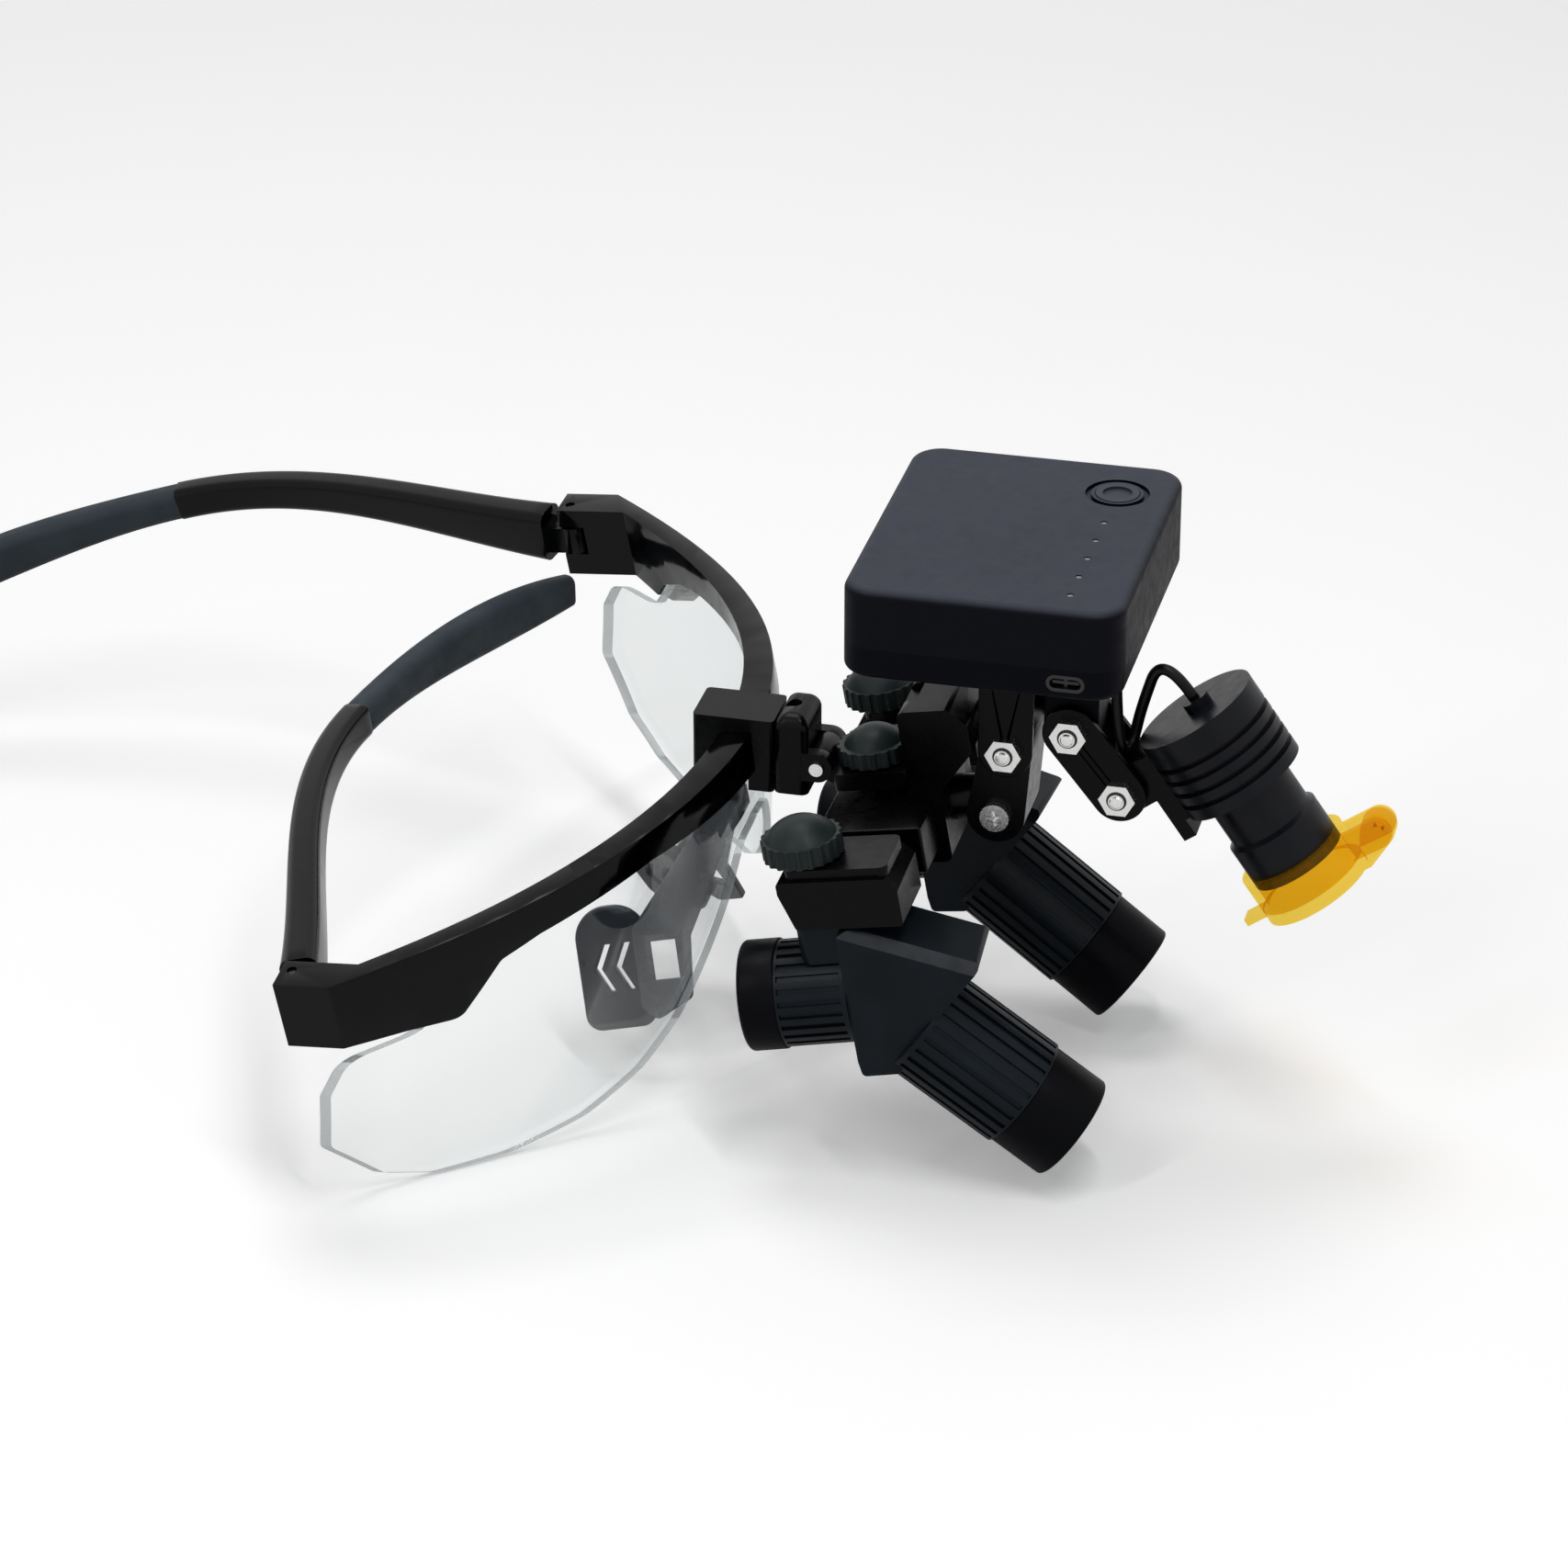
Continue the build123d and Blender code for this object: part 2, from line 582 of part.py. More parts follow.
# Height slide: the tower that runs on the arm's rail, with the neck for the box bracket
NECK_Z = 18.6
NECK_R = 3.6
NECK_FRONT = -13.6
with BuildPart() as slide_tower:
    with BuildSketch(Plane.YZ.offset(-TOWER_HALF_X)):
        with BuildLine():
            FilletPolyline((TOWER_BACK, TOWER_LOW), (TOWER_BACK, TOWER_TOP), (-12.8, TOWER_TOP), (-15.6, 34.0),
                           (-15.6, 29.5), (-9.6, 23.2), (-9.6, TOWER_LOW), radius=1.2, close=True)
        make_face()
    extrude(amount=2 * TOWER_HALF_X)
    with BuildSketch(Plane.XY.offset(TOWER_LOW - 1)):
        with Locations((0, TOWER_BACK - RAIL_DEPTH / 2)):
            Rectangle(2 * (RAIL_HALF + SLIDE_PLAY), RAIL_DEPTH + 2 * SLIDE_PLAY)
    extrude(amount=TOWER_TOP - TOWER_LOW + 2, mode=Mode.SUBTRACT)
    with BuildSketch(Plane.XZ.offset(9.6)):
        with Locations((0, NECK_Z)):
            Circle(NECK_R)
    extrude(amount=-NECK_FRONT - 9.6)
keep(slide_tower.part, "slide_tower", CARRIER)

TILT_LOCAL_Y = (TILT_Y - CARRIER_AT[1]) * cos(carrier_tilt) - (TILT_Z - CARRIER_AT[2]) * sin(carrier_tilt)
TILT_LOCAL_Z = (TILT_Y - CARRIER_AT[1]) * sin(carrier_tilt) + (TILT_Z - CARRIER_AT[2]) * cos(carrier_tilt)
SCREW_LOCAL_Y = -17.1
SCREW_LOCAL_Z = 17.8
BLOCK_SIDE = PLATE_IN - 0.2
with BuildPart() as neck_block:
    with BuildSketch(Plane.YZ.offset(-BLOCK_SIDE)):
        with Locations((SCREW_LOCAL_Y, SCREW_LOCAL_Z)):
            Circle(4.6)
        with Locations((TILT_LOCAL_Y, TILT_LOCAL_Z)):
            Circle(PLATE_HALF_Y - 0.3)
        make_hull()
    extrude(amount=2 * BLOCK_SIDE)
    with BuildSketch(Plane.YZ.offset(-10)):
        with Locations((TILT_LOCAL_Y, TILT_LOCAL_Z), (SCREW_LOCAL_Y, SCREW_LOCAL_Z)):
            Circle(BOLT_R)
    extrude(amount=20, mode=Mode.SUBTRACT)
    with BuildSketch(Plane.XZ.offset(-NECK_FRONT)):
        with Locations((0, NECK_Z)):
            Circle(NECK_R)
    extrude(amount=-6, mode=Mode.SUBTRACT)
keep(neck_block.part, "neck_block", CARRIER)

# Pupil-distance bar with its guide
with BuildPart() as pd_bar:
    with BuildSketch(Plane.XY.offset(BAR_LOW)):
        with Locations((0, (BAR_BACK + TOWER_BACK) / 2)):
            Rectangle(2 * BAR_HALF_X, BAR_BACK - TOWER_BACK)
        for side in (-1, 1):
            with Locations((side * (BAR_HALF_X + TOWER_HALF_X) / 2, (TOWER_BACK + BAR_FRONT) / 2)):
                Rectangle(BAR_HALF_X - TOWER_HALF_X, TOWER_BACK - BAR_FRONT)
    extrude(amount=BAR_TOP - BAR_LOW)
    with BuildSketch(Plane.XY.offset(GUIDE_LOW)):
        for side in (-1, 1):
            with Locations((side * (GUIDE_HALF_X + BAR_HALF_X) / 2, (GUIDE_BACK + GUIDE_FRONT) / 2)):
                Rectangle(GUIDE_HALF_X - BAR_HALF_X, GUIDE_BACK - GUIDE_FRONT)
    extrude(amount=GUIDE_TOP - GUIDE_LOW)
    with BuildSketch(Plane.XY.offset(BAR_LOW - 1)):
        with Locations((0, KNOB_Y)):
            Circle(SPINDLE_R + RUNNING_PLAY)
    extrude(amount=20, mode=Mode.SUBTRACT)
keep(pd_bar.part, "pd_bar", CARRIER)

# Carriages and their knobs
with BuildPart() as carriage:
    with BuildSketch(Plane.YZ.offset(-CARRIAGE_HALF_X)):
        with BuildLine():
            FilletPolyline((CARRIAGE_BACK, CARRIAGE_TOP), (CARRIAGE_BACK, CARRIAGE_TOP - 2),
                           (CARRIAGE_BACK - CARRIAGE_SLOPE, CARRIAGE_LOW), (CARRIAGE_FRONT, CARRIAGE_LOW),
                           (CARRIAGE_FRONT, CARRIAGE_TOP - CARRIAGE_SLOPE),
                           (CARRIAGE_FRONT + CARRIAGE_SLOPE, CARRIAGE_TOP), radius=0.5, close=True)
        make_face()
    extrude(amount=2 * CARRIAGE_HALF_X)
    with BuildSketch(Plane.XY.offset(CARRIAGE_TOP)):
        with Locations((0, 1.6)):
            RectangleRounded(2 * CARRIAGE_HALF_X - 1.6, 16.4, 1.4)
    extrude(amount=TIER_HIGH)
    with BuildSketch(Plane.YZ.offset(-CARRIAGE_HALF_X - 1)):
        with Locations(((GUIDE_BACK + GUIDE_FRONT) / 2, (GUIDE_LOW + GUIDE_TOP) / 2)):
            Rectangle(GUIDE_BACK - GUIDE_FRONT + 2 * SLIDE_PLAY, GUIDE_TOP - GUIDE_LOW + 2 * SLIDE_PLAY)
    extrude(amount=2 * CARRIAGE_HALF_X + 1 - CARRIAGE_END_WALL, mode=Mode.SUBTRACT)
    with BuildSketch(Plane.XY.offset(CARRIAGE_LOW - 1)):
        with Locations((0, POST_Y)):
            Circle(POST_PIN_R + RUNNING_PLAY)
    extrude(amount=4.4, mode=Mode.SUBTRACT)
    with BuildSketch(Plane.XY.offset(CARRIAGE_TOP - 2)):
        with Locations((0, PD_KNOB_Y)):
            Circle(SPINDLE_R + RUNNING_PLAY)
    extrude(amount=10, mode=Mode.SUBTRACT)
for side, name in ((1, "left"), (-1, "right")):
    seat = CARRIER * Location((side * OCULAR_X, 0, 0))
    keep(carriage.part if side > 0 else carriage.part.mirror(Plane.YZ), "carriage_" + name, seat)
    keep(knob(PD_KNOB_R, PD_KNOB_LOW, PD_KNOB_SKIRT, PD_KNOB_DOME, PD_KNOB_R - 0.7, 22,
              CARRIAGE_TOP - 1.8, PD_KNOB_Y), "pd_knob_" + name, seat)

# Oculars
EYE_PLANE = Plane((0, 0, 0), x_dir=(1, 0, 0), z_dir=(0, 1, 0))
bend = radians(DEFLECTION)
OBJ_DIR = (0, -cos(bend), -sin(bend))
OBJ_PLANE = Plane((0, 0, 0), x_dir=(1, 0, 0), z_dir=OBJ_DIR)


def ribbed_barrel(plane, start, end, radius, bore):
    with BuildPart() as barrel:
        with BuildSketch(plane.offset(start)):
            Circle(radius)
            Circle(bore, mode=Mode.SUBTRACT)
        extrude(amount=end - start)
        with BuildSketch(plane.offset(start + 0.8)):
            with PolarLocations(radius, RIBS):
                Rectangle(2 * RIB_DEEP, RIB_GAP)
        extrude(amount=end - start - 1.2, mode=Mode.SUBTRACT)
    return barrel.part


with BuildPart() as eyepiece_ring:
    with BuildSketch(EYE_PLANE.offset(EYE_REAR - EYE_RING_LONG)):
        Circle(EYE_RING_R)
        Circle(EYE_BORE_R, mode=Mode.SUBTRACT)
    extrude(amount=EYE_RING_LONG)
    fillet(eyepiece_ring.edges().group_by(Axis.Y)[-1], 0.8)

with BuildPart() as eye_lens:
    with BuildSketch(EYE_PLANE.offset(EYE_REAR - 3.6)):
        Circle(EYE_BORE_R)
    extrude(amount=LENS_WALL)
    fillet(eye_lens.edges().group_by(Axis.Y)[-1], 0.9)

with BuildPart() as prism:
    with BuildSketch(Plane.YZ.offset(-4.8)):
        with BuildLine():
            Polyline((1.4, -2.6), (1.4, 3.4), (-3.6, 1.8), (-3.9, -3.2), (1.4, -2.6))
        make_face()
    extrude(amount=9.6)

HOUSING_CROWN = Vector(0, 1.0, 13.3)
HOUSING_NOSE = Vector(0, -18.2, 5.4)
with BuildPart() as prism_housing:
    with BuildSketch(Plane.YZ.offset(-HOUSING_HALF_X)):
        with BuildLine():
            outline = FilletPolyline((HOUSING_BACK, 12.6), (HOUSING_CROWN.Y, HOUSING_CROWN.Z),
                                     (HOUSING_NOSE.Y, HOUSING_NOSE.Z), (-6.0, -6.6), (-2.8, -11.6),
                                     (HOUSING_BACK - 0.4, -11.6), (HOUSING_BACK, -9.0), radius=0.8, close=True)
        make_face()
    extrude(amount=2 * HOUSING_HALF_X)
    with BuildSketch(Plane(HOUSING_CROWN, x_dir=(1, 0, 0), z_dir=HOUSING_NOSE - HOUSING_CROWN)):
        for side in (-1, 1):
            with Locations((side * HOUSING_HALF_X, 0)):
                Rectangle(HOUSING_BEVEL * sqrt(2), HOUSING_BEVEL * sqrt(2), rotation=45)
    extrude(amount=25, both=True, mode=Mode.SUBTRACT)
    with BuildSketch(Plane.XY.offset(CARRIAGE_LOW - 0.15)):
        with Locations((0, POST_Y)):
            RectangleRounded(9.6, 9.0, 1.6)
    extrude(amount=-CARRIAGE_LOW + EYE_BARREL_R - 1.5)
    with BuildSketch(Plane.XY.offset(CARRIAGE_LOW - 1)):
        with Locations((0, POST_Y)):
            Circle(POST_PIN_R)
    extrude(amount=4.0)
    with BuildSketch(EYE_PLANE.offset(HOUSING_BACK)):
        Circle(EYE_BARREL_R + 0.02)
    extrude(amount=20, mode=Mode.SUBTRACT)
    with BuildSketch(OBJ_PLANE.offset(HOUSING_FRONT)):
        Circle(OBJ_BARREL_R + 0.02)
    extrude(amount=20, mode=Mode.SUBTRACT)
    with BuildSketch(EYE_PLANE.offset(-4)):
        Circle(EYE_BORE_R - 1.4)
    extrude(amount=20, mode=Mode.SUBTRACT)
    with BuildSketch(OBJ_PLANE.offset(0.5)):
        Circle(EYE_BORE_R - 1.0)
    extrude(amount=20, mode=Mode.SUBTRACT)
    add(prism.part, mode=Mode.SUBTRACT)

with BuildPart() as objective_bezel:
    with BuildSketch(OBJ_PLANE.offset(OBJ_BARREL_END)):
        Circle(BEZEL_R)
        Circle(OBJ_BORE_R, mode=Mode.SUBTRACT)
    extrude(amount=BEZEL_LONG)
    with BuildSketch(OBJ_PLANE.offset(OBJ_BARREL_END + BEZEL_LONG - FILTER_SEAT_DEEP)):
        Circle(FILTER_SEAT_R)
    extrude(amount=FILTER_SEAT_DEEP, mode=Mode.SUBTRACT)
    fillet(objective_bezel.edges().group_by(Axis.Z)[0], 0.5)

with BuildPart() as objective_lens:
    with BuildSketch(OBJ_PLANE.offset(OBJ_BARREL_END + BEZEL_LONG - FILTER_SEAT_DEEP - LENS_WALL)):
        Circle(OBJ_BORE_R)
    extrude(amount=LENS_WALL)

ocular = {
    "eyepiece_ring": eyepiece_ring.part,
    "eye_lens": eye_lens.part,
    "eyepiece_barrel": ribbed_barrel(EYE_PLANE, HOUSING_BACK, EYE_REAR - EYE_RING_LONG, EYE_BARREL_R, EYE_BORE_R),
    "prism_housing": prism_housing.part,
    "prism": prism.part,
    "objective_barrel": ribbed_barrel(OBJ_PLANE, HOUSING_FRONT, OBJ_BARREL_END, OBJ_BARREL_R, OBJ_BORE_R),
    "objective_bezel": objective_bezel.part,
    "objective_lens": objective_lens.part,
}
for side, name in ((1, "left"), (-1, "right")):
    seat = (CARRIER * Location((side * OCULAR_X, POST_Y, 0), (0, 0, -side * CONVERGENCE))
            * Location((0, -POST_Y, 0)))
    for label, part in ocular.items():
        keep(part, label + "_" + name, seat)

# Battery box
BOX_LOW = BOX_TOP - BOX_HIGH
BOX_SEAM = BOX_LOW + BOX_SPLIT
BOX_MID = (0, BOX_MID_Y)


def box_shell(low, high, floor_low, floor_high):
    """Half of the box: outer wall from low to high, hollow between the floors."""
    with BuildPart() as shell:
        with BuildSketch(Plane.XY.offset(low)):
            with Locations(BOX_MID):
                RectangleRounded(BOX_X, BOX_Y, BOX_CORNER)
        extrude(amount=high - low)
        with BuildSketch(Plane.XY.offset(floor_low)):
            with Locations(BOX_MID):
                RectangleRounded(BOX_X - 2 * BOX_WALL, BOX_Y - 2 * BOX_WALL, BOX_CORNER - BOX_WALL)
        extrude(amount=floor_high - floor_low, mode=Mode.SUBTRACT)
    return shell


with BuildPart() as case_top:
    add(box_shell(BOX_SEAM, BOX_TOP, BOX_SEAM, BOX_TOP - BOX_WALL).part)
    fillet(case_top.edges().group_by(Axis.Z)[-1], 1.4)
    with BuildSketch(Plane.XY.offset(BOX_TOP - 0.7)):
        with Locations((BUTTON_X, BUTTON_Y)):
            Circle(BUTTON_RING_R)
            Circle(BUTTON_RING_R - 0.9, mode=Mode.SUBTRACT)
    extrude(amount=2, mode=Mode.SUBTRACT)
    with BuildSketch(Plane.XY.offset(BOX_TOP - 5)):
        with Locations((BUTTON_X, BUTTON_Y)):
            Circle(BUTTON_R + 0.12)
        for index in range(5):
            with Locations((LIGHT_X - index * LIGHT_STEP, BUTTON_Y)):
                Circle(LIGHT_R)
    extrude(amount=6, mode=Mode.SUBTRACT)
keep(case_top.part, "case_top")

with BuildPart() as case_bottom:
    add(box_shell(BOX_LOW, BOX_SEAM, BOX_LOW + BOX_WALL, BOX_SEAM).part)
    fillet(case_bottom.edges().group_by(Axis.Z)[0], 1.2)
    with BuildSketch(Plane.YZ.offset(-LUG_HALF)):
        with Locations((LINK_Y, LINK_Z)):
            Circle(LINK_R)
        with BuildLine():
            Polyline((LINK_Y - LINK_R, LINK_Z), (LINK_Y - LINK_R, BOX_LOW + 0.4), (LINK_Y + LINK_R - 0.6, BOX_LOW + 0.4),
                     (LINK_Y + LINK_R, LINK_Z), (LINK_Y - LINK_R, LINK_Z))
        make_face()
    extrude(amount=2 * LUG_HALF)
    with BuildSketch(Plane.YZ.offset(-10)):
        with Locations((LINK_Y, LINK_Z)):
            Circle(BOLT_R + RUNNING_PLAY)
    extrude(amount=20, mode=Mode.SUBTRACT)
    with BuildSketch(Plane.YZ.offset(-BOX_X / 2 - 1)):
        with Locations((PORT_Y, PORT_Z)):
            SlotOverall(PORT_WIDE, PORT_HIGH)
    extrude(amount=BOX_WALL + 2, mode=Mode.SUBTRACT)
keep(case_bottom.part, "case_bottom")

with BuildPart() as charge_port:
    with BuildSketch(Plane.YZ.offset(-BOX_X / 2)):
        with Locations((PORT_Y, PORT_Z)):
            SlotOverall(PORT_WIDE - 0.1, PORT_HIGH - 0.1)
            SlotOverall(PORT_WIDE - 1.2, PORT_HIGH - 1.2, mode=Mode.SUBTRACT)
    extrude(amount=BOX_WALL)
    with BuildSketch(Plane.YZ.offset(-BOX_X / 2 + 0.6)):
        with Locations((PORT_Y, PORT_Z)):
            Rectangle(PORT_WIDE - 1.9, 0.5)
            Rectangle(0.5, PORT_HIGH - 1)
    extrude(amount=BOX_WALL - 0.6)
keep(charge_port.part, "charge_port")

with BuildPart() as power_button:
    with BuildSketch(Plane.XY.offset(BOX_TOP - 2.6)):
        with Locations((BUTTON_X, BUTTON_Y)):
            Circle(BUTTON_R)
    extrude(amount=2.6 + BUTTON_PROUD)
    with BuildSketch(Plane.XY.offset(BOX_TOP + BUTTON_PROUD - 0.4)):
        with Locations((BUTTON_X, BUTTON_Y)):
            Circle(2.3)
    extrude(amount=2, mode=Mode.SUBTRACT)
keep(power_button.part, "power_button")

with BuildPart() as status_lights:
    for index in range(5):
        with BuildSketch(Plane.XY.offset(BOX_TOP - 2.4)):
            with Locations((LIGHT_X - index * LIGHT_STEP, BUTTON_Y)):
                Circle(LIGHT_R)
        extrude(amount=2.2)
keep(status_lights.part, "status_lights")

with BuildPart() as battery_cell:
    with BuildSketch(Plane.XY.offset(BOX_LOW + BOX_WALL)):
        with Locations((0, BOX_MID_Y + 5)):
            RectangleRounded(44, 27, 1.5)
    extrude(amount=6.4)
keep(battery_cell.part, "battery_cell")

with BuildPart() as circuit_board:
    with BuildSketch(Plane.XY.offset(BOX_TOP - 4.6)):
        with Locations(BOX_MID):
            Rectangle(BOX_X - 2 * BOX_WALL - 2, BOX_Y - 2 * BOX_WALL - 4)
    extrude(amount=1.0)
keep(circuit_board.part, "circuit_board")

with BuildPart() as tilt_bracket:
    with BuildSketch(Plane.XY.offset(BOX_LOW - 1.2)):
        with Locations((0, TILT_Y)):
            Rectangle(2 * (PLATE_IN + PLATE_THICK), 2 * PLATE_HALF_Y)
    extrude(amount=1.2)
    for side in (-1, 1):
        x_low = PLATE_IN if side > 0 else -PLATE_IN - PLATE_THICK
        with BuildSketch(Plane.YZ.offset(x_low)):
            with Locations((TILT_Y, TILT_Z)):
                Circle(PLATE_HALF_Y)
            with Locations((TILT_Y, (TILT_Z + BOX_LOW) / 2)):
                Rectangle(2 * PLATE_HALF_Y, BOX_LOW - TILT_Z)
        extrude(amount=PLATE_THICK)
    with BuildSketch(Plane.YZ.offset(-10)):
        with Locations((TILT_Y, TILT_Z)):
            Circle(BOLT_R + RUNNING_PLAY)
    extrude(amount=20, mode=Mode.SUBTRACT)
keep(tilt_bracket.part, "tilt_bracket")


def bolt_and_nuts(y, z, half):
    """A cross bolt with a hexagon nut on each side."""
    with BuildPart() as bolt:
        with BuildSketch(Plane.YZ.offset(-half - NUT_HIGH - 0.4)):
            with Locations((y, z)):
                Circle(BOLT_R)
        extrude(amount=2 * (half + NUT_HIGH + 0.4))
        for start in (-half - NUT_HIGH, half):
            with BuildSketch(Plane.YZ.offset(start)):
                with Locations((y, z)):
                    RegularPolygon(NUT_ACROSS / 2, 6, major_radius=False)
            extrude(amount=NUT_HIGH)
    return bolt.part


with BuildPart() as cross_screw:
    with BuildSketch(Plane.YZ.offset(-BLOCK_SIDE)):
        with Locations((SCREW_LOCAL_Y, SCREW_LOCAL_Z)):
            Circle(BOLT_R)
    extrude(amount=2 * BLOCK_SIDE)
    with BuildSketch(Plane.YZ.offset(-BLOCK_SIDE)):
        with Locations((SCREW_LOCAL_Y, SCREW_LOCAL_Z)):
            Circle(2.3)
            Rectangle(2.6, 0.5, mode=Mode.SUBTRACT)
            Rectangle(0.5, 2.6, mode=Mode.SUBTRACT)
    extrude(amount=-1.2)
with BuildPart() as bracket_bolts:
    add(bolt_and_nuts(TILT_Y, TILT_Z, PLATE_IN + PLATE_THICK))
    add(cross_screw.part.moved(CARRIER))
keep(bracket_bolts.part, "bracket_bolts")

# Link from the box lug to the lamp
LINK_END_Y = LINK_Y - LINK_LONG * cos(radians(LINK_DOWN))
LINK_END_Z = LINK_Z - LINK_LONG * sin(radians(LINK_DOWN))
with BuildPart() as link_plates:
    for x_low in (LINK_IN, -LINK_IN - PLATE_THICK):
        with BuildSketch(Plane.YZ.offset(x_low)):
            with Locations((LINK_Y, LINK_Z), (LINK_END_Y, LINK_END_Z)):
                Circle(LINK_R)
            make_hull()
            with Locations((LINK_Y, LINK_Z), (LINK_END_Y, LINK_END_Z)):
                Circle(BOLT_R, mode=Mode.SUBTRACT)
        extrude(amount=PLATE_THICK)
keep(link_plates.part, "link_plates")
with BuildPart() as link_bolts:
    for y, z in ((LINK_Y, LINK_Z), (LINK_END_Y, LINK_END_Z)):
        add(bolt_and_nuts(y, z, LINK_IN + PLATE_THICK))
keep(link_bolts.part, "link_bolts")

# Lamp, drawn along +Z of its own frame and tipped down and forward
LAMP = Location((0, LAMP_Y, LAMP_Z), (90 + LAMP_PITCH, 0, 0))
lamp_down = radians(LAMP_PITCH)


def in_lamp(y, z):
    """Lamp-frame height and reach of a point that is given level."""
    dy, dz = y - LAMP_Y, z - LAMP_Z
    along = -dy * cos(lamp_down) - dz * sin(lamp_down)
    reach = dz * cos(lamp_down) - dy * sin(lamp_down)
    return reach, along


with BuildPart() as lamp_body:
    with BuildSketch(Plane.XY):
        Circle(LAMP_R)
    extrude(amount=LAMP_BODY)
    for index in range(4):
        with BuildSketch(Plane.XY.offset(4.2 + index * 2.3)):
            Circle(LAMP_R)
            Circle(LAMP_R - 1.1, mode=Mode.SUBTRACT)
        extrude(amount=0.9, mode=Mode.SUBTRACT)
    with BuildSketch(Plane.XY.offset(-GLAND_HIGH)):
        with Locations((0, GLAND_REACH)):
            Circle(2.2)
    extrude(amount=GLAND_HIGH + 0.4)
keep(lamp_body.part, "lamp_body", LAMP)

with BuildPart() as lamp_barrel:
    with BuildSketch(Plane.YZ):
        with BuildLine():
            Polyline((0, LAMP_BODY), (LAMP_BARREL_R, LAMP_BODY), (LAMP_BARREL_R, LAMP_HEAD_FROM),
                     (LAMP_HEAD_R, LAMP_HEAD_FROM + 0.6), (LAMP_HEAD_R, LAMP_END), (LAMP_HEAD_R - 1.6, LAMP_END),
                     (LAMP_HEAD_R - 1.6, LAMP_END - 4), (4.6, LAMP_BODY + 3), (0, LAMP_BODY + 3), (0, LAMP_BODY))
        make_face()
    revolve(axis=Axis.Z)
keep(lamp_barrel.part, "lamp_barrel", LAMP)

with BuildPart() as lamp_lens:
    with BuildSketch(Plane.XY.offset(LAMP_END - 3)):
        Circle(LAMP_HEAD_R - 1.6)
    extrude(amount=2.2)
keep(lamp_lens.part, "lamp_lens", LAMP)

with BuildPart() as led_emitter:
    with BuildSketch(Plane.XY.offset(LAMP_BODY + 3)):
        Rectangle(3.4, 3.4)
    extrude(amount=0.9)
keep(led_emitter.part, "led_emitter", LAMP)

with BuildPart() as lamp_mount:
    reach, along = in_lamp(LINK_END_Y, LINK_END_Z)
    with BuildSketch(Plane.YZ.offset(-LUG_HALF)):
        with Locations((reach, along)):
            Circle(LINK_R - 0.2)
        with BuildLine():
            Polyline((1 - LAMP_R, MOUNT_FROM), (1 - LAMP_R, LAMP_BODY), (-LAMP_R, LAMP_BODY),
                     (-LAMP_R, MOUNT_END), (-LAMP_R - MOUNT_FOOT, MOUNT_END), (-LAMP_R - MOUNT_FOOT, along + 4),
                     (reach, along + LINK_R - 0.2), (reach, along - LINK_R + 0.2), (1 - LAMP_R, MOUNT_FROM))
        make_face()
    extrude(amount=2 * LUG_HALF)
    with BuildSketch(Plane.XY):
        Circle(LAMP_R)
    extrude(amount=LAMP_BODY, mode=Mode.SUBTRACT)
    with BuildSketch(Plane.YZ.offset(-10)):
        with Locations((reach, along)):
            Circle(BOLT_R + RUNNING_PLAY)
    extrude(amount=20, mode=Mode.SUBTRACT)
keep(lamp_mount.part, "lamp_mount", LAMP)

with BuildPart() as filter_collar:
    with BuildSketch(Plane.XY.offset(COLLAR_FROM)):
        Circle(COLLAR_R)
    extrude(amount=LID_FROM - 0.1 - COLLAR_FROM)
    for x_low in (LID_KNUCKLE_HALF + 0.15, -LID_KNUCKLE_HALF - 0.15 - COLLAR_WALL):
        with BuildSketch(Plane.YZ.offset(x_low)):
            with Locations((LID_EAR, LID_EAR_Z)):
                Circle(LID_EAR_R - 0.3)
            with Locations((COLLAR_R - 1, (COLLAR_FROM + LID_FROM) / 2)):
                Rectangle(1, LID_FROM - COLLAR_FROM - 1.2)
            make_hull()
        extrude(amount=COLLAR_WALL)
    with BuildSketch(Plane.YZ.offset(-LID_KNUCKLE_HALF - 0.15 - COLLAR_WALL)):
        with Locations((LID_EAR, LID_EAR_Z)):
            Circle(LID_PIN_R)
    extrude(amount=2 * (LID_KNUCKLE_HALF + 0.15 + COLLAR_WALL))
    with BuildSketch(Plane.XY):
        Circle(LAMP_HEAD_R)
    extrude(amount=40, mode=Mode.SUBTRACT)
keep(filter_collar.part, "filter_collar", LAMP)

with BuildPart() as filter_lid:
    with BuildSketch(Plane.XY.offset(LID_FROM)):
        Circle(COLLAR_R)
    extrude(amount=LID_THICK)
    with BuildSketch(Plane.XY.offset(LID_FROM + 0.4)):
        with Locations((0, -(COLLAR_R - 1 + LID_TAB) / 2)):
            Rectangle(3.4, LID_TAB - COLLAR_R + 1)
    extrude(amount=LID_THICK - 0.8)
    with BuildSketch(Plane.YZ.offset(-LID_KNUCKLE_HALF)):
        with Locations((LID_EAR, LID_EAR_Z)):
            Circle(LID_EAR_R)
        with Locations((COLLAR_R + 0.6, LID_FROM + LID_THICK / 2)):
            Rectangle(1, LID_THICK)
        make_hull()
    extrude(amount=2 * LID_KNUCKLE_HALF)
    with BuildSketch(Plane.XY.offset(LID_FROM)):
        with Locations((0, COLLAR_R)):
            Rectangle(2 * LID_KNUCKLE_HALF, 2)
    extrude(amount=LID_THICK)
    with BuildSketch(Plane.YZ.offset(-10)):
        with Locations((LID_EAR, LID_EAR_Z)):
            Circle(LID_PIN_R + RUNNING_PLAY)
    extrude(amount=20, mode=Mode.SUBTRACT)
keep(filter_lid.part, "filter_lid", LAMP)


